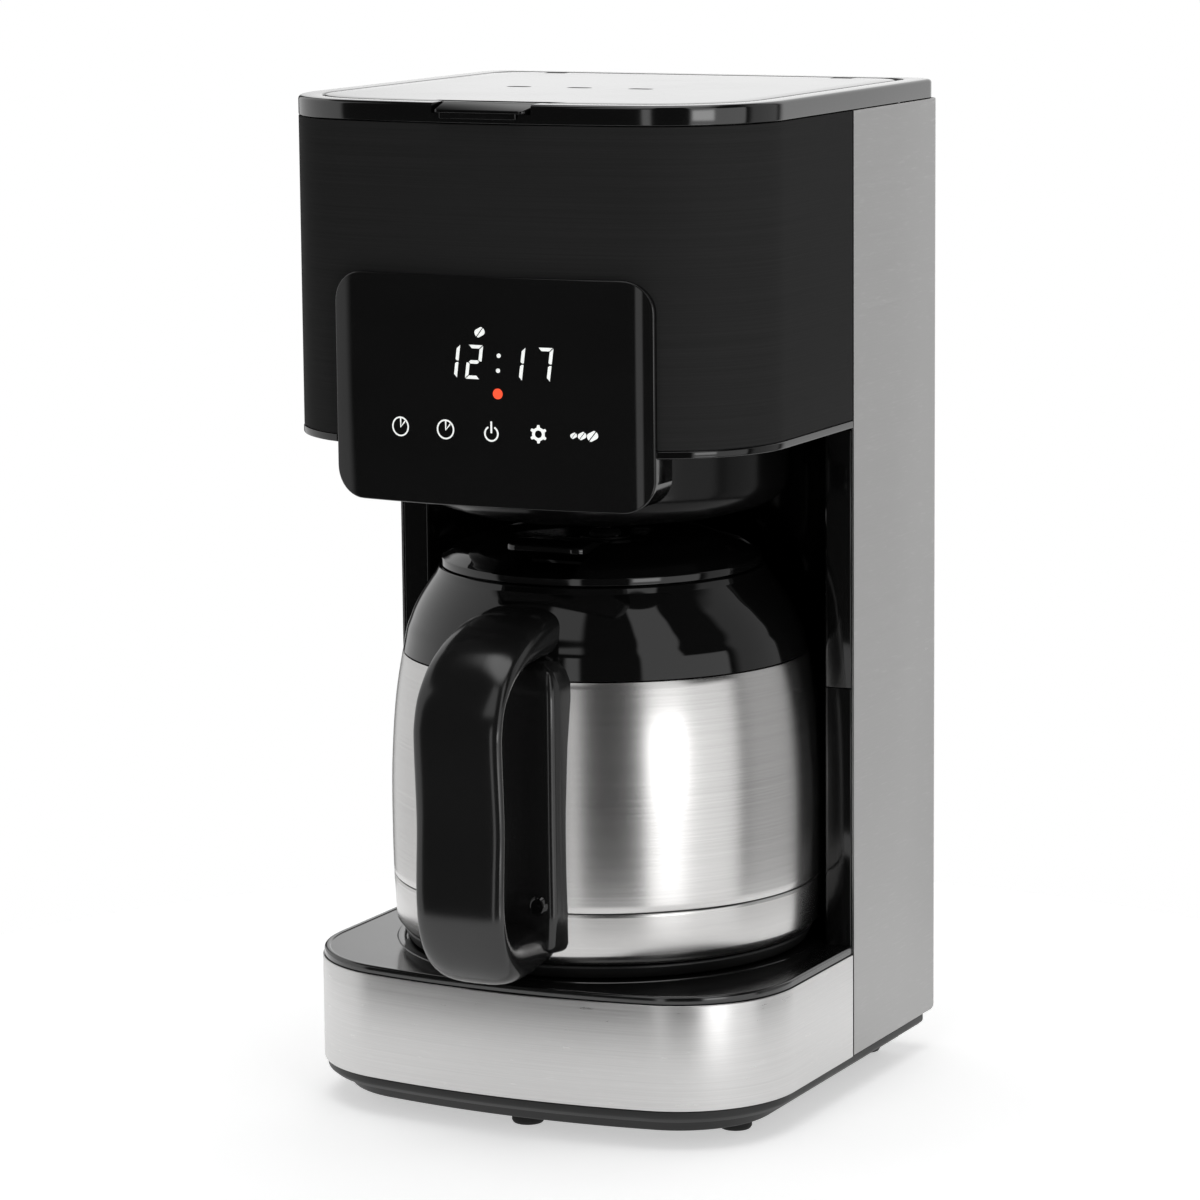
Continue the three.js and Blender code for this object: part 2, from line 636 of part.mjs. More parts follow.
// ---- jug -------------------------------------------------------------------
const JUG_FOOT_Z = DECK_Z + GAP;
const CAP_SEAM_Z = 78.7;
const COLLAR_Z = 160;
const STEEL_T = 1;
const LEAN = 3; // the collar's mouth sits this far in front of the jug's axis
const MOUTH_Z = 190.7;
const MOUTH_Y = JUG_Y - LEAN;

// Outer profile of the jug from its foot to the collar seam, as [radius, z].
const JUG_SIDE = [
  [74.6, 57], [76, 60], [76.9, 66], [77.5, CAP_SEAM_Z], [77.8, 92], [77.8, 112], [77.2, 127],
  [76.2, 140], [74.9, 150], [73.1, COLLAR_Z],
];
const COLLAR_SIDE = [
  [73.1, COLLAR_Z], [72.5, 163], [71.3, 168], [69.8, 171.5], [68, 175.5], [65.2, 180.4], [61.8, 185.4],
  [59, 189], [58.4, 190.4],
];

function profileBetween(profile, z0, z1) {
  return profile.filter(([, z]) => z >= z0 - 1e-6 && z <= z1 + 1e-6);
}

function thinWall(profile, thickness) {
  const inner = profile.map(([r, z]) => [r - thickness, z]).reverse();
  return turned([...profile, ...inner, profile[0]], 0, JUG_Y, JUG_ROUND);
}

function jugShell() {
  const side = profileBetween(JUG_SIDE, CAP_SEAM_Z, COLLAR_Z);
  side[0] = [77.5, CAP_SEAM_Z + GAP];
  side[side.length - 1] = [73.1, COLLAR_Z - GAP];
  return thinWall(side, STEEL_T);
}

function jugCap() {
  const side = profileBetween(JUG_SIDE, 60, CAP_SEAM_Z);
  side[side.length - 1] = [77.5, CAP_SEAM_Z];
  const inner = side.map(([r, z]) => [r - STEEL_T, z + (z < 61 ? 1 : 0)]).reverse();
  return turned([[0, 60], ...side, ...inner, [0, 61]], 0, JUG_Y, JUG_ROUND);
}

function jugFoot() {
  return turned([
    [66, JUG_FOOT_Z], [72.4, JUG_FOOT_Z], [73.6, 56.4], [75.6, 59.7], [66, 59.7], [66, JUG_FOOT_Z],
  ], 0, JUG_Y, JUG_ROUND);
}

function jugLiner() {
  const outer = [
    [0, 66], [66, 66], [72, 70], [74.4, 80], [74.4, 116], [71.4, 150], [65, 163], [52, 180], [50.5, 184],
  ];
  const inner = [
    [49.7, 184], [51.2, 179.6], [64.2, 162.4], [70.5, 149.6], [73.5, 115.8], [73.5, 80.4], [71.4, 71],
    [65.8, 67], [0, 67],
  ];
  return leaned(turned([...outer, ...inner], 0, JUG_Y));
}

// Leans an upright turned piece forward above the collar seam.
function leaned(solid) {
  return solid.warp((vertex) => {
    const t = Math.min(Math.max((vertex[2] - COLLAR_Z) / (MOUTH_Z - COLLAR_Z), 0), 1);
    vertex[1] -= LEAN * t * t * (3 - 2 * t);
  });
}

function jugCollar() {
  const inner = [
    [54.8, 190.4], [54.8, 186], [58.4, 180.6], [64.4, 173], [69, 164.4], [70.6, COLLAR_Z + GAP],
  ];
  const outer = COLLAR_SIDE.map(([r, z]) => [r, z === COLLAR_Z ? COLLAR_Z + GAP : z]);
  return leaned(turned([...outer, ...inner, outer[0]], 0, JUG_Y, JUG_ROUND));
}

// The jug's outside, grown by a gap, used to trim what is fixed to it.
function jugEnvelope(gap) {
  const side = JUG_SIDE.map(([r, z]) => [r + gap, z]);
  const top = COLLAR_SIDE.slice(1).map(([r, z]) => [r + gap, z]);
  const profile = [[0, 50], [74.6 + gap, 50], ...side, ...top, [58.4 + gap, 200], [0, 200]];
  return leaned(turned(profile, 0, JUG_Y, JUG_ROUND));
}

const GRIP_HALF = 16.5;
const STRAP_HALF = 20.5; // the flat strap that joins the handle to the jug

function jugHandle() {
  const front = -HANDLE_FRONT;
  const strapFront = -84.5;
  const outer = new THREE.Shape();
  outer.moveTo(-60, 184.5);
  outer.lineTo(-74, 184.2);
  outer.bezierCurveTo(-96, 182.5, front + 2, 172, front, 150);
  outer.lineTo(front + 1.8, 116);
  outer.lineTo(front + 0.2, 88);
  outer.bezierCurveTo(front + 1, 72, -112, 57, -100, 57.6);
  outer.bezierCurveTo(-92, 58.4, -86, 62, -70, 63.8);
  outer.lineTo(-60, 80);
  const gap = new THREE.Path();
  gap.moveTo(strapFront, 154);
  gap.bezierCurveTo(strapFront, 163, -88, 167, -93, 167);
  gap.bezierCurveTo(-104, 167, front + 8.2, 160, front + 8, 150);
  gap.lineTo(front + 9, 116);
  gap.lineTo(front + 8, 90);
  gap.bezierCurveTo(front + 8, 80, -106, 75.2, -99, 75.2);
  gap.lineTo(-90, 75.2);
  gap.bezierCurveTo(-86.5, 75.2, strapFront, 78, strapFront, 83);
  gap.lineTo(strapFront, 154);
  outer.holes.push(gap);
  const loop = prismX(outer, -GRIP_HALF, GRIP_HALF, 8);
  const strap = box(-STRAP_HALF, STRAP_HALF, strapFront, -60, 66, 158);
  const trimmed = loop.add(strap).subtract(jugEnvelope(GAP));
  return trimmed.decompose().sort((a, b) => a.volume() - b.volume()).pop();
}

const LID_TOP = 203.4;
const LEVER_HALF = 14.6;
const LEVER_Y = -36; // pivot of the thumb lever
const LEVER_Z = 198;
const LEVER_PIN_R = 1.2;

function jugLid() {
  const dome = turned([
    [0, 187.4], [54, 187.4], [54, 190.7], [57.6, 190.7], [57.4, 192.8], [55.9, 194], [51.5, 197.2],
    [45, 200.4], [38, 202.4], [28, LID_TOP], [0, LID_TOP],
  ], 0, MOUTH_Y, JUG_ROUND);
  const screw = disc(0, MOUTH_Y, 47, 181, 187.6).subtract(disc(0, MOUTH_Y, 43, 180, 187.4));
  const pourHole = disc(0, BREW_Y, 3, 180, 210, 16);
  const pocketHalf = LEVER_HALF + 0.8;
  const pocket = box(-pocketHalf, pocketHalf, -70, LEVER_Y + 5, 193.8, 210);
  const pinBore = barX(-pocketHalf - 2.4, pocketHalf + 2.4, LEVER_Y, LEVER_Z, LEVER_PIN_R + 0.1, 16);
  return dome.add(screw).subtract(pourHole).subtract(pocket).subtract(pinBore);
}

function lidSeal() {
  return ring(0, MOUTH_Y, 47.4, 49.4, 184.6, 187);
}

function jugLever() {
  const tip = LEVER_Y - 21;
  const side = new THREE.Shape();
  side.moveTo(LEVER_Y - 3, 195.6);
  side.lineTo(LEVER_Y + 1.6, 195.6);
  side.lineTo(LEVER_Y + 3.2, 202);
  side.bezierCurveTo(LEVER_Y - 5, 205, tip + 8, 205.4, tip, 203.2);
  side.lineTo(tip, 200.8);
  side.lineTo(LEVER_Y - 10, 200.8);
  const bore = barX(-LEVER_HALF - 2, LEVER_HALF + 2, LEVER_Y, LEVER_Z, LEVER_PIN_R + 0.3, 16);
  return prismX(side, -LEVER_HALF, LEVER_HALF, 6).subtract(bore);
}

add('jug_steel_shell', BRUSHED, jugShell());
add('jug_bottom_cap', BRUSHED, jugCap());
add('jug_foot_ring', MATTE_BLACK, jugFoot());
add('jug_liner', BRUSHED, jugLiner());
add('jug_collar', GLOSS_BLACK, jugCollar());
add('jug_handle', GLOSS_BLACK, jugHandle());
add('jug_lid', GLOSS_BLACK, jugLid());
add('jug_lid_seal', SILICONE, lidSeal());
add('jug_lever', GLOSS_BLACK, jugLever());
add('jug_lever_pin', BRUSHED, barX(-LEVER_HALF - 3, LEVER_HALF + 3, LEVER_Y, LEVER_Z, LEVER_PIN_R, 16));
add('drip_stop_spring', BRUSHED, dripSpring());

export default part;
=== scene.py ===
# Drip coffee maker with a steel vacuum jug: the finished surfaces, around the fixed CAD frame.
# Lengths are millimetres in the row frame, turned into metres when a mesh is made.
import math

import bmesh
import bpy
from mathutils import Matrix, Vector


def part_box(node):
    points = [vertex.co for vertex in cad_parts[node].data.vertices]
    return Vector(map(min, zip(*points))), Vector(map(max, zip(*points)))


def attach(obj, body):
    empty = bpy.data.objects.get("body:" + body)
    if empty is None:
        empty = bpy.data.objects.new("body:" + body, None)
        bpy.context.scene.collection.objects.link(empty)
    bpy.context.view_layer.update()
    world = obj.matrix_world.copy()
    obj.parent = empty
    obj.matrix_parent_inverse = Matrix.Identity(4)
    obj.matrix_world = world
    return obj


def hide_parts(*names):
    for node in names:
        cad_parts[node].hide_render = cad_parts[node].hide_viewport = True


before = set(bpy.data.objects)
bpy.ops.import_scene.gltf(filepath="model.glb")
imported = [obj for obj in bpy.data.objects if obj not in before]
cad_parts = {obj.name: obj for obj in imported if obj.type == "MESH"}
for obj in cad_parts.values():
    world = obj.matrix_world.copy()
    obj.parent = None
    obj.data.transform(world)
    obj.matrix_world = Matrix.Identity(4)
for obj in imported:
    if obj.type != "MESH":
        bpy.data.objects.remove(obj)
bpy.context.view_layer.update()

MM = 0.001


def low(node):
    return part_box(node)[0] / MM


def high(node):
    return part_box(node)[1] / MM


def middle(node):
    return (low(node) + high(node)) / 2


# ---- driving dimensions, most of them read from the frame --------------------
JUG_Y = middle("jug_foot_ring").y
MOUTH_Y = middle("jug_lid_seal").y
BREW_Y = middle("filter_housing").y
BODY_Y = JUG_Y + 3
HALF = high("side_panel_right").x
BACK = high("side_panel_right").y
BASE_FRONT = low("base_steel_band").y
HEAD_FRONT = low("head_sheet").y
COLUMN_Y = low("column_liner_lower").y - 1.5
FRONT_CORNER = 44
BACK_CORNER = 4
BOW = 312
HEEL = 8  # rounding of the lower rear edge, seen from the side
SHEET = 0.8
NICHE_R = 80.6
LID_INSET = 9
HINGE_Y = middle("lid_hinge_pin_left").y
HINGE_Z = middle("lid_hinge_pin_left").z
PANEL_LOW = low("control_glass")
PANEL_HIGH = high("control_glass")
PANEL_CORNER = 11
PANEL_PROUD = 3
PANEL_X = 2.0  # the touch panel's middle
FINE = 144  # segments round a large turned piece


# ---- outlines and profiles ---------------------------------------------------
def arc(cx, cy, radius, start, end, steps):
    """Points on an arc, angles in degrees."""
    angles = [math.radians(start + (end - start) * i / steps) for i in range(steps + 1)]
    return [(cx + radius * math.cos(angle), cy + radius * math.sin(angle)) for angle in angles]


def ring(cx, cy, radius, segments):
    """Points round a whole circle."""
    return arc(cx, cy, radius, 0, 360, segments)[:-1]


def slot_ends(x, y, half, radius):
    """The outline of a slot along x with round ends."""
    return arc(x + half, y, radius, -90, 90, 8) + arc(x - half, y, radius, 90, 270, 8)


def outline_facts(inset, front):
    """Half width, corner radius, bow radius, bow centre, corner centre and bow angle of the body's outline."""
    w = HALF - inset
    r = FRONT_CORNER - inset
    bow = BOW - inset
    bow_y = front + BOW
    turn = math.asin((w - r) / (bow - r))
    corner_y = bow_y - (bow - r) * math.cos(turn)
    return w, r, bow, bow_y, corner_y, math.degrees(turn)


def front_path(inset, front, y_end):
    """The outline from its left side round the bowed front to its right side, as an open path."""
    w, r, bow, bow_y, corner_y, turn = outline_facts(inset, front)
    points = [(-w, y_end), (-w, (y_end + corner_y) / 2)]
    points += arc(r - w, corner_y, r, 180, 270 - turn, 20)
    points += arc(0, bow_y, bow, 270 - turn, 270 + turn, 24)[1:]
    points += arc(w - r, corner_y, r, 270 + turn, 360, 20)[1:]
    return points + [(w, (y_end + corner_y) / 2), (w, y_end)]


def outline(inset, front, back=None, corner=BACK_CORNER):
    """The body's whole outline seen from above, drawn in by inset, with the same number of points each time."""
    w = HALF - inset
    yb = (BACK if back is None else back) - inset
    rb = max(corner - inset, 1)
    points = front_path(inset, front, yb - rb)
    points += arc(w - rb, yb - rb, rb, 0, 90, 12)[1:]
    points += arc(rb - w, yb - rb, rb, 90, 180, 12)
    return points[:-1]


def surface_y(x, proud, front):
    """How far forward the outline lies at x, when drawn out by proud."""
    w, r, bow, bow_y, corner_y, turn = outline_facts(-proud, front)
    if abs(x) <= bow * math.sin(math.radians(turn)):
        return bow_y - math.sqrt(bow * bow - x * x)
    reach = abs(x) - (w - r)
    return corner_y - math.sqrt(max(r * r - reach * reach, 0))


def rounded(points, closed=False, steps=5):
    """Rounds the corners of a polyline. A point is (a, b), or (a, b, radius) where it is rounded."""
    made = []
    for i, point in enumerate(points):
        radius = point[2] if len(point) > 2 else 0
        here = Vector(point[:2])
        if radius == 0 or (not closed and i in (0, len(points) - 1)):
            made.append((here.x, here.y))
            continue
        before = Vector(points[i - 1][:2]) - here
        after = Vector(points[(i + 1) % len(points)][:2]) - here
        half = before.angle(after) / 2
        reach = min(radius / math.tan(half), before.length * 0.49, after.length * 0.49)
        before.normalize()
        after.normalize()
        centre = here + (before + after).normalized() * reach / math.cos(half)
        start = here + before * reach - centre
        end = here + after * reach - centre
        sweep = start.angle(end)
        for k in range(steps + 1):
            t = k / steps
            mix = start * math.sin((1 - t) * sweep) + end * math.sin(t * sweep)
            made.append(tuple(centre + mix / math.sin(sweep)))
    return made


def smooth_curve(points, steps=6):
    """A smooth curve through the given points."""
    made = []
    for i in range(len(points) - 1):
        p0 = Vector(points[max(i - 1, 0)])
        p1 = Vector(points[i])
        p2 = Vector(points[i + 1])
        p3 = Vector(points[min(i + 2, len(points) - 1)])
        for k in range(steps):
            t = k / steps
            a = p1 * 2 + (p2 - p0) * t
            b = (p0 * 2 - p1 * 5 + p2 * 4 - p3) * t * t
            c = (p1 * 3 - p0 - p2 * 3 + p3) * t * t * t
            made.append(tuple((a + b + c) / 2))
    return made + [tuple(points[-1])]


def rounded_rect(width, height, cx, cy, radius, columns=24, corner=10):
    """A rounded rectangle whose lower and upper edges have matching points, from the left end to the right."""
    x0 = cx - width / 2
    x1 = cx + width / 2
    y0 = cy - height / 2
    y1 = cy + height / 2
    lower = arc(x0 + radius, y0 + radius, radius, 180, 270, corner)
    lower += [(x0 + radius + (width - 2 * radius) * i / columns, y0) for i in range(1, columns)]
    lower += arc(x1 - radius, y0 + radius, radius, 270, 360, corner)
    upper = [(x, y0 + y1 - y) for x, y in lower]
    return lower, upper


# ---- mesh making -------------------------------------------------------------
class Shape:
    """Vertices and faces of one piece, in millimetres."""

    def __init__(self):
        self.verts = []
        self.faces = []

    def rows(self, rows, round_columns=False, round_rows=False, caps=False):
        """Joins rows of points into a skin. Caps close it at the first and last row, or at its open ends."""
        start = len(self.verts)
        width = len(rows[0])
        for row in rows:
            self.verts += [tuple(p) for p in row]
        for i in range(len(rows) if round_rows else len(rows) - 1):
            a = start + i * width
            b = start + (i + 1) % len(rows) * width
            for j in range(width if round_columns else width - 1):
                k = (j + 1) % width
                self.faces.append((a + j, a + k, b + k, b + j))
        if caps and round_columns:
            last = start + (len(rows) - 1) * width
            self.faces.append(tuple(range(start + width - 1, start - 1, -1)))
            self.faces.append(tuple(range(last, last + width)))
        if caps and round_rows and not round_columns:
            self.faces.append(tuple(start + i * width for i in range(len(rows))))
            self.faces.append(tuple(start + i * width + width - 1 for i in reversed(range(len(rows)))))
        return self

    def turned(self, profile, x, y, segments=FINE):
        """A profile of (radius, z) turned about an upright line. It ends on the line or closes on itself."""
        rows = [[(px, py, z) for px, py in ring(x, y, radius, segments)] for radius, z in profile]
        return self.rows(rows, round_columns=True)

    def prism(self, points, z0, z1):
        rows = [[(x, y, z) for x, y in points] for z in (z0, z1)]
        return self.rows(rows, round_columns=True, caps=True)

    def block(self, x0, x1, y0, y1, z0, z1):
        return self.prism([(x0, y0), (x1, y0), (x1, y1), (x0, y1)], z0, z1)

    def rod(self, x0, x1, y, z, radius, segments=32):
        """A round bar along x, with softened ends."""
        soft = min(radius, x1 - x0) * 0.15
        stations = ((x0, 0), (x0, radius - soft), (x0 + soft, radius),
                    (x1 - soft, radius), (x1, radius - soft), (x1, 0))
        rows = [[(x, py, pz) for py, pz in ring(y, z, r, segments)] for x, r in stations]
        return self.rows(rows, round_columns=True)

    def bar(self, section, x0, x1):
        """A section of (y, z) carried straight along x."""
        return self.rows([[(x, y, z) for y, z in section] for x in (x0, x1)], round_columns=True, caps=True)

    def stud(self, profile, x, z, y, segments=48):
        """A profile of (radius, reach) turned about a line along y. Reach is towards the front."""
        rows = [[(px, y - reach, pz) for px, pz in ring(x, z, radius, segments)] for radius, reach in profile]
        return self.rows(rows, round_columns=True)

    def span(self, first, last):
        """The box between two corners."""
        return self.block(first.x, last.x, first.y, last.y, first.z, last.z)

    def swept(self, section, path):
        """A closed section of (inset, z) carried along the open path(inset)."""
        return self.rows(section_rows(section, path), round_rows=True, caps=True)

    def moved(self, change):
        self.verts = [tuple(change(*v)) for v in self.verts]
        return self


def section_rows(section, path):
    """Rows of a section of (inset, z) carried along path(inset)."""
    return [[(x, y, z) for x, y in path(inset)] for inset, z in section]


def sheet_section(inset0, inset1, z0, z1, radius):
    """The section of a sheet that stands upright, with softened edges."""
    corners = [(inset0, z0, radius), (inset0, z1, radius), (inset1, z1, radius), (inset1, z0, radius)]
    return rounded(corners, closed=True, steps=4)


def mesh_object(name, shape):
    """Makes the mesh in metres, cleaned of doubled points and with its faces turned outwards."""
    mesh = bpy.data.meshes.new(name)
    mesh.from_pydata([(x * MM, y * MM, z * MM) for x, y, z in shape.verts], [], shape.faces)
    work = bmesh.new()
    work.from_mesh(mesh)
    bmesh.ops.remove_doubles(work, verts=work.verts, dist=1e-7)
    bmesh.ops.dissolve_degenerate(work, edges=work.edges, dist=1e-8)
    bmesh.ops.recalc_face_normals(work, faces=work.faces)
    work.to_mesh(mesh)
    work.free()
    made = bpy.data.objects.new(name, mesh)
    bpy.context.scene.collection.objects.link(made)
    return made


def settle(target):
    """Applies the modifiers of an object to its mesh."""
    graph = bpy.context.evaluated_depsgraph_get()
    target.data = bpy.data.meshes.new_from_object(target.evaluated_get(graph))
    target.modifiers.clear()


def cut(target, *shapes):
    """Takes the shapes away from the target, one after another."""
    for shape in shapes:
        tool = mesh_object("cutter", shape)
        knife = target.modifiers.new("cut", "BOOLEAN")
        knife.operation = "DIFFERENCE"
        knife.solver = "EXACT"
        knife.object = tool
        settle(target)
        bpy.data.objects.remove(tool)


def soften(target, width, segments=3, angle=40):
    edge = target.modifiers.new("soften", "BEVEL")
    edge.width = width * MM
    edge.segments = segments
    edge.limit_method = "ANGLE"
    edge.angle_limit = math.radians(angle)
    edge.use_clamp_overlap = True
    settle(target)


def finish_piece(target, material, body, slot, *nodes, sharp=38):
    """Gives a piece its material and its smooth shading, hangs it on its body and hides the CAD nodes it
    replaces.
    """
    target.data.materials.clear()
    target.data.materials.append(material)
    target.data.polygons.foreach_set("use_smooth", [True] * len(target.data.polygons))
    target.data.set_sharp_from_angle(angle=math.radians(sharp))
    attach(target, body)
    if nodes:
        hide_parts(*nodes)


def piece(name, shape, material, body, slot, *nodes, cuts=(), soft=(), sharp=38):
    """A finished piece from a shape, less its cuts, its edges softened by soft = (width, segments, angle)."""
    made = mesh_object(name, shape)
    cut(made, *cuts)
    if soft:
        soften(made, *soft)
    finish_piece(made, material, body, slot, *nodes, sharp=sharp)


# ---- materials ---------------------------------------------------------------
class Nodes:
    """Adds nodes to one tree. A sum takes a plain number wherever it takes a socket."""

    def __init__(self, tree):
        self.tree = tree

    def add(self, kind, **settings):
        node = self.tree.nodes.new(kind)
        for key, value in settings.items():
            setattr(node, key, value)
        return node

    def feed(self, value, socket):
        if isinstance(value, (int, float)):
            socket.default_value = value
        else:
            self.tree.links.new(value, socket)

    def math(self, operation, *values):
        node = self.add("ShaderNodeMath", operation=operation)
        for value, socket in zip(values, node.inputs):
            self.feed(value, socket)
        return node.outputs[0]

    def plus(self, a, b):
        return self.math("ADD", a, b)

    def times(self, a, b):
        return self.math("MULTIPLY", a, b)

    def grain(self, stretch, detail=3, seed=0.0):
        """Noise over the surface. Stretch is how many features lie along a metre, for all axes or for each."""
        place = self.add("ShaderNodeTexCoord")
        mapping = self.add("ShaderNodeMapping")
        mapping.inputs["Scale"].default_value = stretch if isinstance(stretch, tuple) else (stretch,) * 3
        mapping.inputs["Location"].default_value = (seed, seed, seed)
        noise = self.add("ShaderNodeTexNoise")
        noise.inputs["Scale"].default_value = 1
        noise.inputs["Detail"].default_value = detail
        self.feed(place.outputs["Object"], mapping.inputs["Vector"])
        self.feed(mapping.outputs["Vector"], noise.inputs["Vector"])
        return noise.outputs["Fac"]

    def spread(self, value, low_value, high_value, start=0.3, end=0.7, **settings):
        """Carries the range from start to end over to the range from low_value to high_value."""
        ramp = self.add("ShaderNodeMapRange", **settings)
        numbers = {"From Min": start, "From Max": end, "To Min": low_value, "To Max": high_value}
        for name, number in numbers.items():
            ramp.inputs[name].default_value = number
        self.feed(value, ramp.inputs["Value"])
        return ramp.outputs["Result"]

    def colours(self, factor, dark, light):
        """A mix of two colours. Its colour sockets share their names with others, so they are told by type."""
        mix = self.add("ShaderNodeMix", data_type="RGBA")
        self.feed(factor, mix.inputs[0])
        ends = [socket for socket in mix.inputs if socket.type == "RGBA"]
        for socket, colour in zip(ends, (dark, light)):
            socket.default_value = (*colour, 1)
        return next(socket for socket in mix.outputs if socket.type == "RGBA")


class Look(Nodes):
    """A material in the making, with the inputs of its shader."""

    def __init__(self, name, roughness=0.5, metallic=0.0, specular=0.5):
        self.material = bpy.data.materials.new(name)
        self.material.use_nodes = True
        super().__init__(self.material.node_tree)
        self.shader = self.tree.nodes["Principled BSDF"].inputs
        self.shader["Roughness"].default_value = roughness
        self.shader["Metallic"].default_value = metallic
        self.shader["Specular IOR Level"].default_value = specular

    def colour(self, factor, dark, light):
        self.feed(self.colours(factor, dark, light), self.shader["Base Color"])

    def rough(self, value):
        self.feed(value, self.shader["Roughness"])

    def bump(self, height, strength, depth):
        node = self.add("ShaderNodeBump")
        node.inputs["Strength"].default_value = strength
        node.inputs["Distance"].default_value = depth * MM
        self.feed(height, node.inputs["Height"])
        self.feed(node.outputs["Normal"], self.shader["Normal"])

    def worn_edges(self):
        """Rises from 0 to 1 along convex edges, broken up by a fine grain."""
        geometry = self.add("ShaderNodeNewGeometry")
        edge = self.spread(geometry.outputs["Pointiness"], 0, 1, 0.53, 0.62)
        return self.times(edge, self.spread(self.grain(260, 4, 3.1), 0.2, 1))


def grey(value, warm=0.0):
    return (value * (1 + warm), value, value * (1 - warm))


def brushed_steel(name, tone, rough, along=12, warm=0.008, lines=0.05, vary=1.0):
    """Stainless steel with fine level brush lines, short scratches and a broad soft change of tone."""
    look = Look(name, rough, 1.0)
    fine = look.grain((along, along, 2600))
    scratches = look.spread(look.grain((150, 150, 1500), 1, 4.7), 0, 1, 0.60, 0.80)
    clouds = look.plus(look.times(fine, 0.7), look.times(look.grain(7, 2, 9.2), 0.3))
    marked = look.plus(clouds, look.times(scratches, 0.10))
    look.colour(look.spread(marked, 0, 1), grey(tone * 0.93, warm), grey(tone * 1.07, warm))
    brushed = look.spread(fine, rough - 0.03 * vary, rough + 0.05 * vary)
    look.rough(look.math("SUBTRACT", brushed, look.times(scratches, 0.06 * vary)))
    look.bump(look.plus(fine, look.times(scratches, 0.15)), lines, 0.05)
    return look.material


def gloss_plastic(name, tone=0.0035, rough=0.07, specular=0.5):
    """Polished black moulding: faint waviness, faint handling haze and slightly duller edges."""
    look = Look(name, rough, 0.0, specular)
    edge = look.worn_edges()
    look.colour(edge, grey(tone), grey(tone * 2.6))
    haze = look.spread(look.grain(26, 4, 1.3), rough - 0.02, rough + 0.025)
    look.rough(look.plus(haze, look.times(edge, 0.08)))
    look.bump(look.grain(55, 2, 5.9), 0.02, 0.12)
    return look.material


def matte_plastic(name, rough=0.5, texture=900):
    """Moulded plastic with a fine spark-eroded grain and paler edges."""
    look = Look(name, rough)
    patch = look.grain(18, 3, 7.7)
    worn = look.plus(look.times(patch, 0.5), look.times(look.worn_edges(), 0.5))
    look.colour(worn, grey(0.0064), grey(0.0152))
    look.rough(look.spread(patch, rough - 0.05, rough + 0.07))
    look.bump(look.grain(texture, 5), 0.25, 0.06)
    return look.material


def dark_sheet(name):
    """Dark brushed steel under a satin lacquer. The low index keeps its grazing reflections faint."""
    look = Look(name, 0.42, 0.0, 0.02)
    look.shader["IOR"].default_value = 1.2
    fine = look.grain((10, 10, 2300))
    scratches = look.spread(look.grain((110, 110, 1300), 1, 2.9), 0, 1, 0.62, 0.82)
    clouds = look.plus(look.times(fine, 0.7), look.times(look.grain(6, 2, 6.4), 0.3))
    marked = look.plus(clouds, look.times(scratches, 0.12))
    look.colour(look.spread(marked, 0, 1, 0.3, 0.75), grey(0.029), grey(0.038))
    look.rough(look.spread(fine, 0.38, 0.48))
    look.bump(fine, 0.05, 0.05)
    return look.material


def panel_glass(name):
    """Polished black touch panel with faint smears."""
    look = Look(name, 0.05, 0.0, 0.4)
    smear = look.grain((20, 20, 45), 5, 8.3)
    look.colour(look.spread(smear, 0, 1), grey(0.0078), grey(0.0092))
    look.rough(look.spread(smear, 0.035, 0.07))
    look.bump(look.grain(40, 1, 2.2), 0.01, 0.05)
    return look.material


def lit_mark(name, colour, strength):
    """A lit sign on the panel, a little uneven as a light guide is."""
    look = Look(name, 0.35)
    uneven = look.grain(700, 2, 4.4)
    glow = look.colours(uneven, tuple(c * 0.86 for c in colour), colour)
    look.feed(glow, look.shader["Base Color"])
    look.feed(glow, look.shader["Emission Color"])
    look.shader["Emission Strength"].default_value = strength
    look.bump(uneven, 0.05, 0.02)
    return look.material


def rubber(name):
    """Dull black rubber with a little dust."""
    look = Look(name, 0.75, 0.0, 0.35)
    dust = look.grain(140, 5, 3.3)
    look.colour(look.spread(dust, 0, 1, 0.35, 0.75), grey(0.0104), grey(0.0234))
    look.rough(look.spread(dust, 0.68, 0.85))
    look.bump(look.grain(1500), 0.2, 0.05)
    return look.material


def plain_metal(name, tone, rough):
    """Plain sheet or bar metal with handling marks."""
    look = Look(name, rough, 1.0)
    marks = look.grain(300, 5, 6.6)
    look.colour(look.grain(30, 3, 2.4), grey(tone * 0.85), grey(tone * 1.1))
    look.rough(look.spread(marks, rough - 0.06, rough + 0.1))
    look.bump(marks, 0.08, 0.05)
    return look.material


def silicone(name):
    """Milky seals and hoses."""
    look = Look(name, 0.5, 0.0, 0.4)
    cloud = look.grain(60, 4, 1.9)
    look.colour(cloud, (0.50, 0.48, 0.44), (0.66, 0.63, 0.58))
    look.rough(look.spread(cloud, 0.45, 0.6))
    look.shader["Subsurface Weight"].default_value = 0.15
    look.shader["Subsurface Scale"].default_value = 0.002
    look.bump(look.grain(900), 0.1, 0.04)
    return look.material


def smoked_plastic(name):
    """Dark see-through tank plastic, here nearly closed, with flow marks and a limescale haze."""
    look = Look(name, 0.14)
    flow = look.grain((14, 14, 60), 4, 5.1)
    scale = look.spread(look.grain((90, 90, 140), 5, 8.8), 0, 1, 0.5, 0.8)
    look.colour(scale, (0.024, 0.028, 0.032), (0.075, 0.082, 0.088))
    look.rough(look.plus(look.spread(flow, 0.1, 0.18), look.times(scale, 0.2)))
    look.shader["Transmission Weight"].default_value = 0.15
    look.bump(flow, 0.05, 0.2)
    return look.material


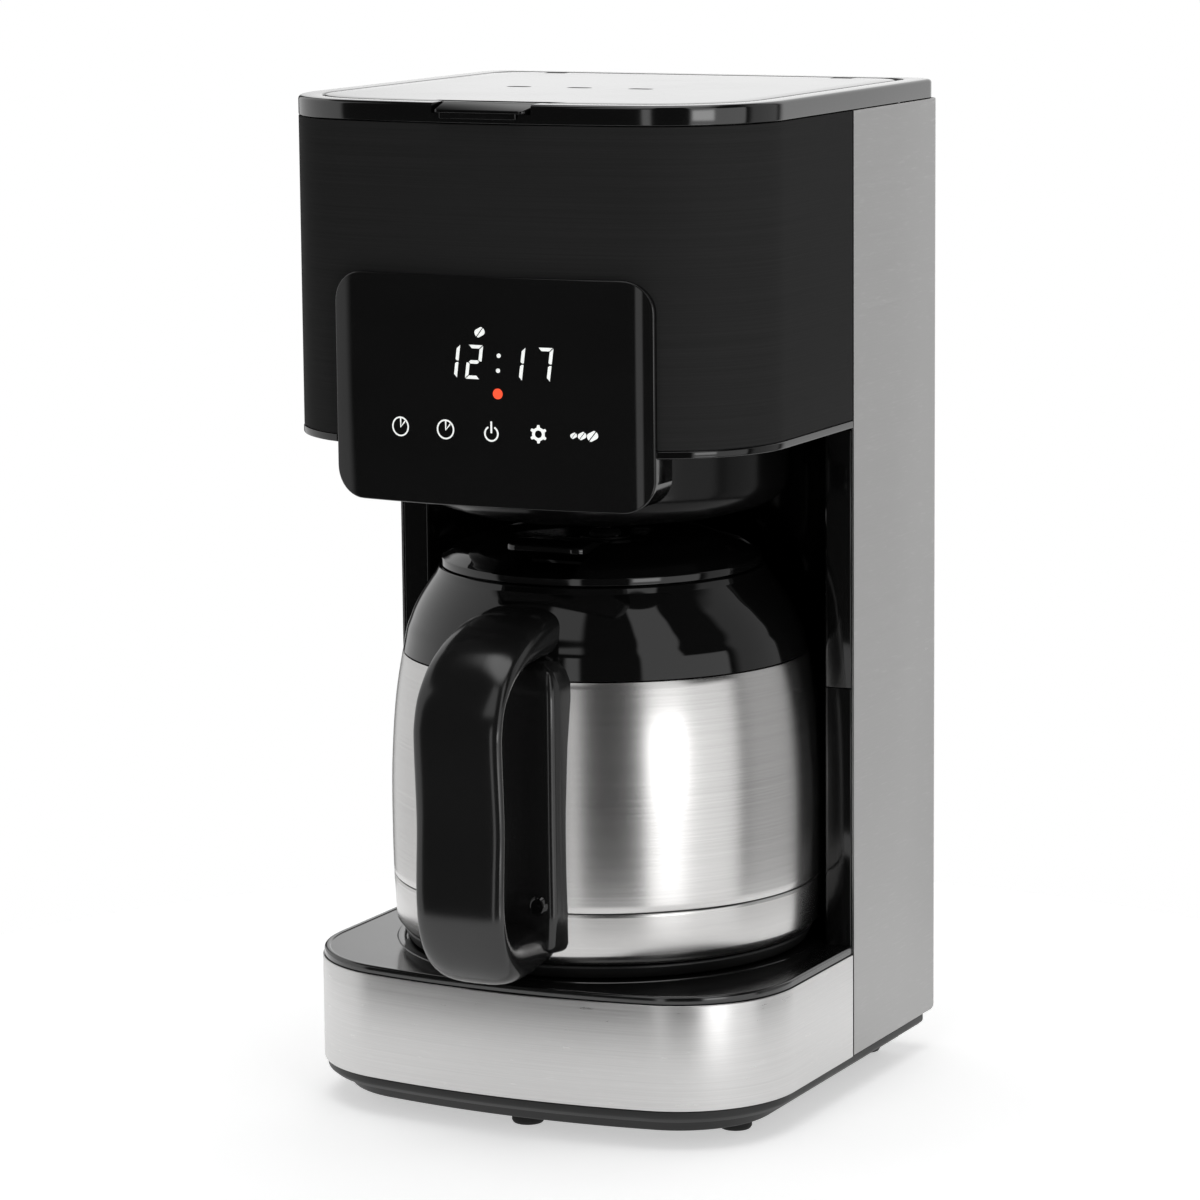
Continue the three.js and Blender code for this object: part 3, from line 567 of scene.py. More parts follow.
def circuit_board(name):
    """Green solder mask over copper tracks."""
    look = Look(name, 0.35)
    place = look.add("ShaderNodeTexCoord")
    bricks = look.add("ShaderNodeTexBrick")
    bricks.inputs["Scale"].default_value = 130
    bricks.inputs["Mortar Size"].default_value = 0.03
    bricks.inputs["Color1"].default_value = (0.008, 0.085, 0.028, 1)
    bricks.inputs["Color2"].default_value = (0.010, 0.11, 0.036, 1)
    bricks.inputs["Mortar"].default_value = (0.03, 0.17, 0.06, 1)
    look.feed(place.outputs["Object"], bricks.inputs["Vector"])
    look.feed(bricks.outputs["Color"], look.shader["Base Color"])
    look.rough(look.spread(look.grain(200, 4), 0.3, 0.45))
    look.bump(bricks.outputs["Fac"], 0.3, 0.05)
    return look.material


STEEL_BAND = brushed_steel("steel_band", tone=0.62, rough=0.33)
STEEL_SIDE = brushed_steel("steel_side", tone=0.365, rough=0.36)
STEEL_JUG = brushed_steel("steel_jug", tone=0.58, rough=0.24, along=9, warm=0.012, lines=0.003, vary=0.3)
GLOSS = gloss_plastic("gloss_black")
GLOSS_RIM = gloss_plastic("gloss_black_rim", rough=0.09, specular=0.85)
GLOSS_INNER = gloss_plastic("gloss_black_inner", rough=0.2, specular=0.18)
GLOSS_DECK = gloss_plastic("gloss_black_deck", rough=0.12, specular=0.85)
# Painted sheen: the handle's black is lighter than the collar's, standing in for the soft grey reflections along
# the grip.
GLOSS_HANDLE_PAINTED_SHEEN = gloss_plastic("gloss_black_handle_painted_sheen", tone=0.010, rough=0.15, specular=0.6)
GLOSS_JUG = gloss_plastic("gloss_black_jug", rough=0.05)
MATTE = matte_plastic("matte_black")
MATTE_FINE = matte_plastic("satin_black", rough=0.38, texture=1400)
SHEET_BLACK = dark_sheet("black_sheet")
GLASS = panel_glass("panel_glass")
RUBBER = rubber("rubber_black")
PLAIN_STEEL = plain_metal("plain_steel", 0.50, 0.3)
ALUMINIUM = plain_metal("aluminium", 0.55, 0.42)
SILICONE = silicone("silicone")
TANK = smoked_plastic("smoked_tank")
BOARD = circuit_board("circuit_board")
LIT_WHITE = lit_mark("lit_white", (0.86, 0.88, 0.86), 0.75)
LIT_RED = lit_mark("lit_red", (0.90, 0.085, 0.035), 1.0)


# ---- base --------------------------------------------------------------------
def base_front_path(y_end):
    return lambda inset: front_path(inset, BASE_FRONT, y_end)


def make_base():
    pan_low = low("base_pan").z
    pan_high = high("base_pan").z
    profile = rounded([
        (15, pan_low), (10.2, pan_low, 1.6), (7.6, pan_low + 4.2, 1.5), (3.4, pan_low + 5.0, 1.4),
        (1.2, pan_low + 6.8, 1.4), (1.2, pan_high, 0.4), (15, pan_high),
    ])
    def pan_path(inset):
        return outline(inset, BASE_FRONT, BACK - HEEL + inset / 2)
    pan = Shape().rows(section_rows(profile, pan_path), round_columns=True, caps=True)
    piece("base_pan_moulding", pan, MATTE, "machine", "matte_black", "base_pan")

    for place in ("front_middle", "front_left", "front_right", "rear_left", "rear_right"):
        node = "foot_" + place
        centre = middle(node)
        radius = high(node).x - centre.x
        profile = rounded([(0, 0), (radius - 0.6, 0, 0.6), (radius, 1, 0.4), (radius, pan_low), (0, pan_low)])
        foot = Shape().turned(profile, centre.x, centre.y, 40)
        piece("rubber_" + node, foot, RUBBER, "machine", "rubber_black", node)

    band_low = low("base_steel_band").z
    band_high = high("base_steel_band").z
    section = sheet_section(0, SHEET, band_low, band_high, 0.38)
    band = Shape().swept(section, base_front_path(COLUMN_Y - 1))
    piece("base_band", band, STEEL_BAND, "machine", "brushed_steel", "base_steel_band")
    make_deck(band_high)


def deck_floor_outline(inset):
    """The deck's floor: the bowed front, and the round tongue that reaches back into the column."""
    points = front_path(inset, BASE_FRONT, COLUMN_Y - 0.3)
    radius = NICHE_R - 0.3
    start = math.degrees(math.asin((COLUMN_Y - JUG_Y) / radius))
    return points + arc(0, JUG_Y, radius, start, 180 - start, 48)


def make_deck(band_high):
    """The deck with its raised rim and the low ring that the jug stands in."""
    top = high("base_deck").z
    floor = top - 0.3
    deck = Shape().prism(deck_floor_outline(1.6), band_high + 0.3, floor)
    rim = rounded([
        (0.6, band_high + 0.3, 0.2), (0.6, top, 0.9), (2.6, top, 0.5), (3.1, floor - 0.2, 0.2),
        (3.1, band_high + 0.3),
    ], closed=True)
    deck.swept(rim, base_front_path(COLUMN_Y - 0.3))
    seat = rounded([(73.4, floor - 0.4), (73.4, top, 0.3), (76.6, top, 0.5), (77.2, floor - 0.4)])
    seat.append(seat[0])
    deck.turned(seat, 0, JUG_Y)
    piece("deck_moulding", deck, GLOSS_DECK, "machine", "gloss_black", "base_deck")


# ---- column ------------------------------------------------------------------
def niche_outline():
    """Plan of the column's front lining: two flat cheeks and the round niche around the jug."""
    inner = NICHE_R
    outer = NICHE_R + 2
    depth = COLUMN_Y - JUG_Y
    start = math.degrees(math.asin(depth / inner))
    edge = HALF - SHEET - 0.3
    turn = math.radians(start + 3)
    right = rounded([
        (inner * math.cos(turn), JUG_Y + inner * math.sin(turn)),
        (inner * math.cos(math.radians(start)), COLUMN_Y, 1.6), (edge, COLUMN_Y, 0.5), (edge, COLUMN_Y + 2),
    ])
    points = arc(0, JUG_Y, inner, 180 - start - 3, start + 3, 72)[:-1] + right
    outer_start = math.degrees(math.asin((depth + 2) / outer))
    points += arc(0, JUG_Y, outer, outer_start, 180 - outer_start, 72)
    points += [(-x, y) for x, y in reversed(right[1:])]
    return points


def make_column():
    for node in ("column_liner_lower", "column_liner_upper"):
        liner = Shape().prism(niche_outline(), low(node).z, high(node).z)
        piece(node + "_moulding", liner, GLOSS, "machine", "gloss_black", node, soft=(0.35, 2))

    inner_x = low("side_panel_right").x
    for side, node in ((1, "side_panel_right"), (-1, "side_panel_left")):
        def path(inset, side=side):
            w = HALF - inset
            yb = BACK - inset
            rb = BACK_CORNER - inset
            points = [(w, COLUMN_Y), (w, (COLUMN_Y + yb - rb) / 2)]
            points += arc(w - rb, yb - rb, rb, 0, 90, 16) + [(inner_x, yb)]
            return [(side * x, y) for x, y in points]
        section = sheet_section(0, SHEET, low(node).z, low("top_rim").z - 0.3, 0.36)
        piece("steel_" + node, Shape().swept(section, path), STEEL_SIDE, "machine", "brushed_steel", node,
              cuts=[heel_knife()])
    make_rear()


def heel_knife():
    """What the rounding of the lower rear edge takes away."""
    z0 = low("base_housing").z
    corner = [(BACK + 2, z0 + HEEL)] + arc(BACK - HEEL, z0 + HEEL, HEEL, 0, -90, 16)
    corner += [(BACK - HEEL, z0 - 2), (BACK + 2, z0 - 2)]
    return Shape().bar(corner, -HALF - 5, HALF + 5)


def screw(name, x, y, z):
    """A countersunk screw with a cross recess, its head towards the rear."""
    profile = rounded([(0, 0.45), (2.3, 0.45, 0.5), (2.9, -0.2), (2.9, -1.4), (0, -1.4)])
    head = Shape().stud([(r, -reach) for r, reach in profile], x, z, y)
    recess = [Shape().block(x - half_x, x + half_x, y - 0.2, y + 2, z - half_z, z + half_z)
              for half_x, half_z in ((1.5, 0.28), (0.28, 1.5))]
    piece(name, head, PLAIN_STEEL, "machine", "plain_steel", cuts=recess)


def make_rear():
    first = low("rear_panel")
    last = high("rear_panel")
    panel = mesh_object("rear_panel_moulding", Shape().span(first, last))
    soften(panel, 0.5)
    slots = Shape()
    for row in range(9):
        z = first.z + 24 + row * 7
        for x in (-30, 30):
            ends = slot_ends(x, 0, 20, 1.5)
            slots.rows([[(px, y, z + pz) for px, pz in ends] for y in (first.y - 2, last.y + 2)],
                       round_columns=True, caps=True)
    cut(panel, slots)
    finish_piece(panel, MATTE, "machine", "matte_black", "rear_panel")

    # Painted shade: a dark sheet just inside the vent slots, so the slots read as dark openings.
    vent_shade_sheet = Shape().block(-56, 56, first.y - 1.6, first.y - 0.6, first.z + 14, first.z + 90)
    piece("rear_vent_shade_sheet", vent_shade_sheet, MATTE, "machine", "matte_black")

    cover_low = low("rear_base_cover")
    cover_high = high("rear_base_cover")
    gland = middle("cord_gland")
    bore = Shape().stud([(0, -20), (6.4, -20), (6.4, 20), (0, 20)], gland.x, gland.z, cover_low.y)
    piece("rear_cover_plate", Shape().span(cover_low, cover_high), MATTE, "machine", "matte_black",
          "rear_base_cover", cuts=[bore], soft=(0.25, 2))

    reach0 = low("cord_gland").y
    reach1 = high("cord_gland").y
    profile = [(3.4, reach0), (6, reach0), (6, BACK - 1.2), (6, BACK + 0.2, 0.3)]
    for i in range(2):
        y = BACK + 0.6 + i * 1.5
        profile += [(4.9, y, 0.2), (4.9, y + 0.5, 0.2), (5.8, y + 0.9, 0.2), (5.8, y + 1.3, 0.2)]
    profile += [(5.2, reach1, 0.5), (3.4, reach1, 0.4)]
    rings = rounded(profile, closed=True, steps=3)
    rings.append(rings[0])
    sleeve = Shape().stud([(r, -y) for r, y in rings], gland.x, gland.z, 0)
    piece("cord_gland_sleeve", sleeve, RUBBER, "machine", "rubber_black", "cord_gland")

    for side, x in (("left", -68), ("right", 68)):
        for i, z in enumerate((first.z + 8, (first.z + last.z) / 2, last.z - 8)):
            screw("rear_screw_%s_%d" % (side, i + 1), x, last.y - 0.5, z)
        screw("cover_screw_" + side, x, cover_high.y - 0.5, middle("rear_base_cover").z)


# ---- head --------------------------------------------------------------------
def head_front_path(y_end):
    return lambda inset: front_path(inset, HEAD_FRONT, y_end)


def trim_path(side):
    """From the edge of the control panel round the corner and back to the column."""
    start_x = low("head_trim_right").x

    def path(inset):
        w, r, bow, bow_y, corner_y, turn = outline_facts(inset, HEAD_FRONT)
        start = 270 + math.degrees(math.asin((start_x - (w - r)) / r))
        points = arc(w - r, corner_y, r, start, 360, 18) + [(w, COLUMN_Y - 1)]
        return [(side * x, y) for x, y in points]
    return path


def make_head():
    sheet_low = low("head_sheet").z
    sheet_high = high("head_sheet").z
    section = sheet_section(0, SHEET, sheet_low, sheet_high, 0.3)
    behind_panel = Shape().block(
        -54.8, 54.8, HEAD_FRONT - 30, HEAD_FRONT + 24, sheet_low - 20, PANEL_HIGH.z - 8.7)
    piece("head_front_sheet", Shape().swept(section, head_front_path(COLUMN_Y - 1)), SHEET_BLACK, "machine",
          "black_sheet", "head_sheet", cuts=[behind_panel])

    for side, node in ((1, "head_trim_right"), (-1, "head_trim_left")):
        z0 = low(node).z
        z1 = high(node).z
        section = rounded([(1, z0, 0.2), (-0.2, z0, 0.9), (-0.2, z1, 0.5), (1, z1, 0.2)], closed=True)
        piece(node + "_bead", Shape().swept(section, trim_path(side)), GLOSS, "machine", "gloss_black", node)
    make_rim()
    make_lid()


TAB_HALF = 18
LUG_X = 58  # the hinge lugs' middles
VENT_X = (-32, -8, 16)
RIM_CORNER = 9
LID_CORNER = 8  # how much rounder the rim's rear corners are at the lid's opening


def make_rim():
    z0 = low("top_rim").z
    top = high("top_rim").z
    hole = LID_INSET - 0.6
    back_step = 1.4 / hole
    section = rounded([(0, z0, 0.4), (0, top, 1.3), (hole, top, 0.7), (hole, z0, 0.3)], closed=True)

    def path(inset):
        return outline(inset, HEAD_FRONT, BACK + back_step * inset, RIM_CORNER + LID_CORNER * inset / hole)
    rim = Shape().rows(section_rows(section, path), round_columns=True, round_rows=True)
    gap = TAB_HALF + 0.8
    notch = Shape().block(-gap, gap, HEAD_FRONT - 20, HEAD_FRONT + 16, top - 3.4, top + 2)
    piece("top_rim_moulding", rim, GLOSS_RIM, "machine", "gloss_black", "top_rim", cuts=[notch])
    for side, name in ((-1, "left"), (1, "right")):
        lug = Shape().rod(side * LUG_X - 4, side * LUG_X + 4, HINGE_Y, HINGE_Z, 2.5)
        lug.block(side * LUG_X - 4, side * LUG_X + 4, HINGE_Y, HINGE_Y + 5.5, HINGE_Z - 2.5, HINGE_Z + 0.5)
        piece("lid_hinge_lug_" + name, lug, MATTE_FINE, "machine", "gloss_black")


def make_lid():
    top = high("lid").z
    z0 = top - 3
    section = rounded([(LID_INSET + 8, z0), (LID_INSET, z0, 0.4), (LID_INSET, top, 0.9), (LID_INSET + 8, top)])
    rows = section_rows(section, lambda inset: outline(inset, HEAD_FRONT, BACK, LID_INSET + 13))
    lid = Shape().rows(rows, round_columns=True, caps=True)
    cuts = [Shape().prism(slot_ends(x, BODY_Y - 4, 2.6, 2.1), z0 - 3, top + 3) for x in VENT_X]
    cuts += [Shape().block(x - 4.3, x + 4.3, HINGE_Y - 3.2, HINGE_Y + 20, z0 - 4, top + 4)
             for x in (-LUG_X, LUG_X)]
    piece("lid_moulding", lid, GLOSS, "lid", "gloss_black", "lid", cuts=cuts)
    make_tab(z0, top)

    def skirt_path(inset):
        return front_path(inset, HEAD_FRONT, BODY_Y + 70)
    section = sheet_section(LID_INSET + 4, LID_INSET + 6, z0 - 5, z0 + 0.5, 0.4)
    skirt = Shape().swept(section, skirt_path)
    for side in (-1, 1):
        for inner in (4.3, -8):
            x = side * LUG_X + inner
            skirt.rod(x, x + 3.7, HINGE_Y, HINGE_Z, 2.5)
    piece("lid_skirt", skirt, MATTE_FINE, "lid", "gloss_black")


def make_tab(z0, top):
    """The finger tab slopes down over the rim's notch and carries a lip in front of the rim."""
    back = HEAD_FRONT + 16
    front = low("lid").y
    flare = TAB_HALF + 8
    corners = rounded([
        (-flare, back), (-TAB_HALF - 0.4, front + 10.5, 3), (-TAB_HALF + 1.2, front, 1.6),
        (TAB_HALF - 1.2, front, 2.4), (TAB_HALF + 0.4, front + 8.5, 4), (flare, back),
    ])
    tab = Shape().prism(corners, z0 - 0.2, top)
    slope = [(front - 5, top - 3.2), (HEAD_FRONT + LID_INSET, top + 0.02), (front - 5, top + 6)]
    piece("lid_tab", tab, GLOSS, "lid", "gloss_black", cuts=[Shape().bar(slope, -60, 60)], soft=(0.4, 3))
    lip = Shape().block(3 - TAB_HALF, TAB_HALF - 4, front + 0.3, HEAD_FRONT - 0.25, z0 - 2.2, z0 + 0.5)
    piece("lid_tab_lip", lip, GLOSS, "lid", "gloss_black", soft=(0.35,))


# ---- control panel -----------------------------------------------------------
def on_panel(points, proud):
    """Points of (x, z) laid on the head's bowed front, drawn out by proud."""
    return [(x, surface_y(x, proud, HEAD_FRONT), z) for x, z in points]


def bowed_slab(proud0, proud1, edge, width, height, z_middle, radius):
    """A rounded plate that follows the head's bowed front, with a softened front edge."""
    steps = 4
    layers = [(0, proud0)]
    for i in range(steps + 1):
        angle = math.pi / 2 * i / steps
        layers.append((edge * (1 - math.cos(angle)), proud1 - edge * (1 - math.sin(angle))))
    rings = []
    for inset, proud in layers:
        lower, upper = rounded_rect(width - 2 * inset, height - 2 * inset, PANEL_X, z_middle, radius - inset)
        rings.append(on_panel(lower + list(reversed(upper)), proud))
    shape = Shape().rows(rings, round_columns=True)
    for face in (rings[0], rings[-1]):
        half = len(face) // 2
        shape.rows([face[:half], list(reversed(face[half:]))])
    return shape


def make_panel():
    width = PANEL_HIGH.x - PANEL_LOW.x
    height = PANEL_HIGH.z - PANEL_LOW.z + 1.2
    z_middle = PANEL_HIGH.z - height / 2
    glass = bowed_slab(PANEL_PROUD - 1.1, PANEL_PROUD, 0.55, width, height, z_middle, PANEL_CORNER)
    piece("touch_panel", glass, GLASS, "machine", "panel_glass", "control_glass", sharp=60)

    housing = bowed_slab(0.3, PANEL_PROUD - 1.2, 0.2, width - 0.8, height - 0.8, z_middle, PANEL_CORNER - 0.4)
    rear = high("control_housing").y
    top = low("head_sheet").z - 3.2
    lower, _ = rounded_rect(width - 1.4, height, PANEL_X, z_middle + 0.7, PANEL_CORNER - 0.7)
    edge = [(x, z) for x, z in lower if z < top]
    edge += [(PANEL_X + width / 2 - 0.7, top), (PANEL_X + 0.7 - width / 2, top)]
    rows = [on_panel(edge, PANEL_PROUD - 1.4), [(x, rear - 1.2, z) for x, z in edge],
            [(x * 0.985, rear, z + (0.8 if z < top - 1 else 0)) for x, z in edge]]
    housing.rows(rows, round_columns=True, caps=True)
    piece("panel_frame", housing, GLOSS, "machine", "matte_black", "control_housing")
    make_display()


MARK_T = 0.12  # how far a lit sign stands proud of the panel


def mark(shape, outline_points):
    """A thin flat sign on the panel from a closed outline of (x, z)."""
    rows = [on_panel(outline_points, PANEL_PROUD + proud) for proud in (-0.1, MARK_T)]
    return shape.rows(rows, round_columns=True, caps=True)


def mark_rows(one, other):
    """Four rows that close the strip between two lines of a sign."""
    return [on_panel(line, PANEL_PROUD + proud)
            for line, proud in ((one, -0.1), (one, MARK_T), (other, MARK_T), (other, -0.1))]


def stroke(shape, points, width, closed=False):
    """A line of even width along points of (x, z)."""
    half = width / 2
    left = []
    right = []
    count = len(points)
    for i, point in enumerate(points):
        before = Vector(points[i - 1] if (i or closed) else point)
        after = Vector(points[(i + 1) % count] if (i < count - 1 or closed) else point)
        run = (after - before).normalized()
        side = Vector((-run.y, run.x)) * half
        left.append(tuple(Vector(point) + side))
        right.append(tuple(Vector(point) - side))
    return shape.rows(mark_rows(left, right), round_columns=closed, round_rows=True, caps=not closed)


DIGIT_H = 11.6
DIGIT_W = 5.6
DIGIT_T = 1.15
SLANT = 0.13
SEGMENTS = {"1": "bc", "2": "abged", "7": "abc"}


def segment(shape, kind, x, z):
    """One bar of a seven-segment digit whose lower left corner is at (x, z)."""
    t = DIGIT_T
    w = DIGIT_W
    h = DIGIT_H
    gap = 0.28
    half = h / 2
    bars = {
        "a": [(gap, h), (w - gap, h), (w - t - gap, h - t), (t + gap, h - t)],
        "d": [(t + gap, t), (w - t - gap, t), (w - gap, 0), (gap, 0)],
        "g": [(t * 0.8, half), (t + 0.3, half + t / 2), (w - t - 0.3, half + t / 2), (w - t * 0.8, half),
              (w - t - 0.3, half - t / 2), (t + 0.3, half - t / 2)],
        "b": [(w, h - gap), (w, half + gap), (w - t * 0.5, half + gap), (w - t, half + t * 0.6),
              (w - t, h - t - gap)],
        "c": [(w, half - gap), (w, gap), (w - t, t + gap), (w - t, half - t * 0.6), (w - t * 0.5, half - gap)],
        "e": [(0, half - gap), (t * 0.5, half - gap), (t, half - t * 0.6), (t, t + gap), (0, gap)],
    }
    mark(shape, [(x + px + SLANT * pz, z + pz) for px, pz in bars[kind]])


def bean(shape, x, z, size):
    """A coffee bean: two halves either side of a slanting crease."""
    tilt = math.radians(38)
    for side in (-1, 1):
        points = []
        for i in range(13):
            angle = math.pi * i / 12
            px = size * 0.72 * math.sin(angle) * side + side * size * 0.10
            pz = size * math.cos(angle)
            bend = size * 0.14 * math.sin(pz / size * math.pi)
            px += bend
            points.append((x + px * math.cos(tilt) + pz * math.sin(tilt),
                           z - px * math.sin(tilt) + pz * math.cos(tilt)))
        mark(shape, points)


def gear(shape, x, z, radius):
    """A toothed wheel with a round hole."""
    teeth = 6
    inner = radius * 0.42
    outer = []
    hole = []
    steps = teeth * 8
    for i in range(steps):
        angle = 2 * math.pi * i / steps
        wave = math.cos(angle * teeth)
        reach = radius * (1.0 if wave > 0.25 else 0.74)
        outer.append((x + reach * math.sin(angle), z + reach * math.cos(angle)))
        hole.append((x + inner * math.sin(angle), z + inner * math.cos(angle)))
    shape.rows(mark_rows(outer, hole), round_columns=True, round_rows=True)


def make_display():
    digit_z = 267.2
    digits = Shape()
    for text, x in (("1", -14.2), ("2", -5.4), ("1", 10.4), ("7", 20.6)):
        for kind in SEGMENTS[text]:
            segment(digits, kind, x, digit_z)
    for z in (270.4, 275.5):
        mark(digits, ring(7.0 + SLANT * (z - digit_z) * 0.5, z, 0.75, 20))
    bean(digits, 0.4, 283.2, 1.9)
    piece("display_digits", digits, LIT_WHITE, "machine", "panel_glass")

    dot = mark(Shape(), ring(7.0, 262.5, 1.8, 36))
    piece("display_dot", dot, LIT_RED, "machine", "panel_glass")

    row_z = 249.4
    icons = Shape()
    for x in (-31.4, -13.3):
        stroke(icons, ring(x, row_z, 3.15, 40), 0.5, closed=True)
        stroke(icons, [(x + 0.1, row_z + 2.9), (x + 0.1, row_z - 0.2), (x + 1.9, row_z + 1.9)], 0.5)
    stroke(icons, arc(4.4, row_z - 0.6, 2.45, 62, -242, 30), 0.55)
    stroke(icons, [(4.4, row_z + 3.6), (4.4, row_z - 0.4)], 0.6)
    gear(icons, 21.9, row_z, 3.1)
    for x, size in ((34.6, 1.15), (37.6, 1.5), (41.3, 1.95)):
        bean(icons, x, row_z, size)
    piece("panel_icons", icons, LIT_WHITE, "machine", "panel_glass")


# ---- filter ------------------------------------------------------------------
def make_filter():
    z0 = low("filter_housing").z
    z1 = high("filter_housing").z
    radius = high("filter_housing").x
    outlet = 13
    profile = rounded([
        (outlet, z0), (outlet + 2, z0, 0.5), (outlet + 2, z0 + 3, 0.8), (50, z0 + 3, 10), (radius, z0 + 8, 10),
        (radius, z1, 0.6), (radius - 2, z1, 0.6), (radius - 2, z0 + 11, 8), (48, z0 + 5, 8), (outlet, z0 + 5),
    ], steps=8)
    profile.append(profile[0])
    bowl = Shape().turned(profile, 0, BREW_Y)
    piece("filter_bowl", bowl, GLOSS_INNER, "machine", "matte_black", "filter_housing")


# ---- jug ---------------------------------------------------------------------
CAP_SEAM = low("jug_steel_shell").z - 0.3
COLLAR_Z = high("jug_steel_shell").z + 0.3
MOUTH_Z = 190.7
LEAN = JUG_Y - MOUTH_Y
JUG_SIDE = [(74.0, 57), (75.9, 60), (76.9, 66), (77.5, CAP_SEAM), (77.8, 92), (77.8, 112), (77.2, 127),
            (76.2, 140), (74.9, 150), (73.1, COLLAR_Z)]
COLLAR_SIDE = [(73.1, COLLAR_Z), (72.5, 163), (71.3, 168), (69.8, 171.5), (68, 175.5), (65.2, 180.4),
               (61.8, 185.4), (59.4, 188.8)]


def side_radius(z):
    """Outer radius of the jug at a height, along its smooth side."""
    curve = smooth_curve(JUG_SIDE, 8)
    for (r0, z0), (r1, z1) in zip(curve, curve[1:]):
        if z0 <= z <= z1:
            return r0 + (r1 - r0) * (z - z0) / (z1 - z0)
    return curve[-1][0] if z > curve[-1][1] else curve[0][0]


def side_between(z0, z1, steps):
    return [(side_radius(z0 + (z1 - z0) * i / steps), z0 + (z1 - z0) * i / steps) for i in range(steps + 1)]


def lean(x, y, z):
    """The collar's mouth sits in front of the jug's axis."""
    t = min(max((z - COLLAR_Z) / (MOUTH_Z - COLLAR_Z), 0), 1)
    return x, y - LEAN * t * t * (3 - 2 * t), z


def make_jug():
    shell = side_between(CAP_SEAM + 0.3, COLLAR_Z - 0.3, 30)
    r0, z0 = shell[0]
    r1, z1 = shell[-1]
    outer = [(r0 - 0.45, z0), (r0 - 0.12, z0 + 0.12), (r0, z0 + 0.45)] + shell[1:-1]
    outer += [(r1 + 0.08, z1 - 0.4), (r1 - 0.1, z1 - 0.08), (r1 - 0.5, z1)]
    inner = [(r - 1, z) for r, z in reversed(shell)]
    profile = outer + inner + [outer[0]]
    piece("jug_shell", Shape().turned(profile, 0, JUG_Y), STEEL_JUG, "jug", "brushed_steel", "jug_steel_shell")

    cap = [(0, 60), (70, 60, 2), (74.6, 60.2, 1.4), (75.9, 61.6, 1.2)]
    cap_side = side_between(62.5, CAP_SEAM, 12)
    r1, z1 = cap_side[-1]
    profile = rounded(cap)[:-1] + cap_side[:-1]
    profile += [(r1, z1 - 0.4), (r1 - 0.15, z1 - 0.1), (r1 - 0.5, z1), (r1 - 1, z1)]
    profile += [(r - 1, z) for r, z in reversed(cap_side[:-1])] + [(73, 61.4), (0, 61.4)]
    bottom = Shape().turned(profile, 0, JUG_Y)
    piece("jug_bottom_shell", bottom, STEEL_JUG, "jug", "brushed_steel", "jug_bottom_cap")

    foot_z = low("jug_foot_ring").z
    foot = rounded([(66, foot_z, 0.3), (72.2, foot_z, 1.0), (74.6, 59.5, 0.8), (66, 59.8)], closed=True)
    foot.append(foot[0])
    piece("jug_foot", Shape().turned(foot, 0, JUG_Y), MATTE_FINE, "jug", "matte_black", "jug_foot_ring")
    make_collar()
    make_handle()
    make_jug_lid()


def make_collar():
    outer = smooth_curve(COLLAR_SIDE, 8)
    outer[0] = (outer[0][0] - 0.1, COLLAR_Z + 0.3)
    lip = rounded([outer[-1], (58.4, 190.9, 0.7), (55.2, 190.9, 0.5), (55.0, 187)])[1:]
    inner = smooth_curve([(55.0, 187), (58.4, 180.6), (64.4, 173), (69, 164.4), (70.6, COLLAR_Z + 0.3)], 5)[1:]
    profile = outer + lip + inner
    profile.append(profile[0])
    collar = Shape().turned(profile, 0, JUG_Y).moved(lean)
    piece("jug_collar_moulding", collar, GLOSS_JUG, "jug", "gloss_black", "jug_collar")


HANDLE_FRONT = low("jug_handle").y
GRIP_HALF = 16.7
GRIP_X = -0.8
STRAP_HALF = 19.8
# The strap down the shell: height, and how much wider than STRAP_HALF it is there.
STRAP = ((65.5, -2.0), (66.6, -0.7), (68.5, 0), (80, 0.2), (110, 0), (140, 0), (154, 0), (160, -0.6),
         (164, -2.4), (167, -5.5))


def resample(points, count):
    """Even steps along a polyline."""
    lengths = [0.0]
    for a, b in zip(points, points[1:]):
        lengths.append(lengths[-1] + (Vector(b) - Vector(a)).length)
    made = []
    j = 0
    for i in range(count + 1):
        want = lengths[-1] * i / count
        while j < len(points) - 2 and lengths[j + 1] < want:
            j += 1
        span = lengths[j + 1] - lengths[j]
        t = (want - lengths[j]) / span if span else 0
        made.append(Vector(points[j]).lerp(Vector(points[j + 1]), t))
    return made


def handle_loop():
    """The D of the handle: stations between an outer and an inner line, each with a rounded section."""
    f = HANDLE_FRONT
    outer = smooth_curve([
        (f + 60, 184.4), (f + 48, 184.2), (f + 36, 182.8), (f + 24, 178.6), (f + 13, 171.4), (f + 5.2, 162),
        (f + 1.2, 152.5), (f + 0.3, 143), (f + 1.8, 116), (f + 0.9, 98), (f + 0.6, 86), (f + 2.2, 74.5),
        (f + 6.6, 65), (f + 13.5, 59), (f + 21, 57.6), (f + 30, 58.2), (f + 40, 60.0), (f + 52, 61.8),
    ], 8)
    inner = smooth_curve([
        (f + 60, 167.5), (f + 48, 167.2), (f + 34, 167.0), (f + 25, 166.0), (f + 16, 162.4), (f + 9.6, 156.4),
        (f + 7.4, 148), (f + 7.4, 140), (f + 8.3, 116), (f + 7.7, 100), (f + 7.5, 90), (f + 9.4, 81.5),
        (f + 14.8, 76.4), (f + 22, 75.3), (f + 36, 75.2), (f + 52, 75.2),
    ], 8)
    count = 96
    rows = []
    for i, (a, b) in enumerate(zip(resample(outer, count), resample(inner, count))):
        share = i / count
        half = GRIP_HALF - 0.9 * math.exp(-((share - 0.02) / 0.12) ** 2)
        centre = (a + b) / 2
        reach = (a - b) / 2
        row = []
        for k in range(40):
            angle = 2 * math.pi * k / 40
            c = math.cos(angle)
            s = math.sin(angle)
            across = half * math.copysign(abs(c) ** (2 / 3.2), c)
            out = math.copysign(abs(s) ** (2 / 2.6), s)
            point = centre + reach * out
            row.append((GRIP_X + across, point.x, point.y))
        rows.append(row)
    return rows


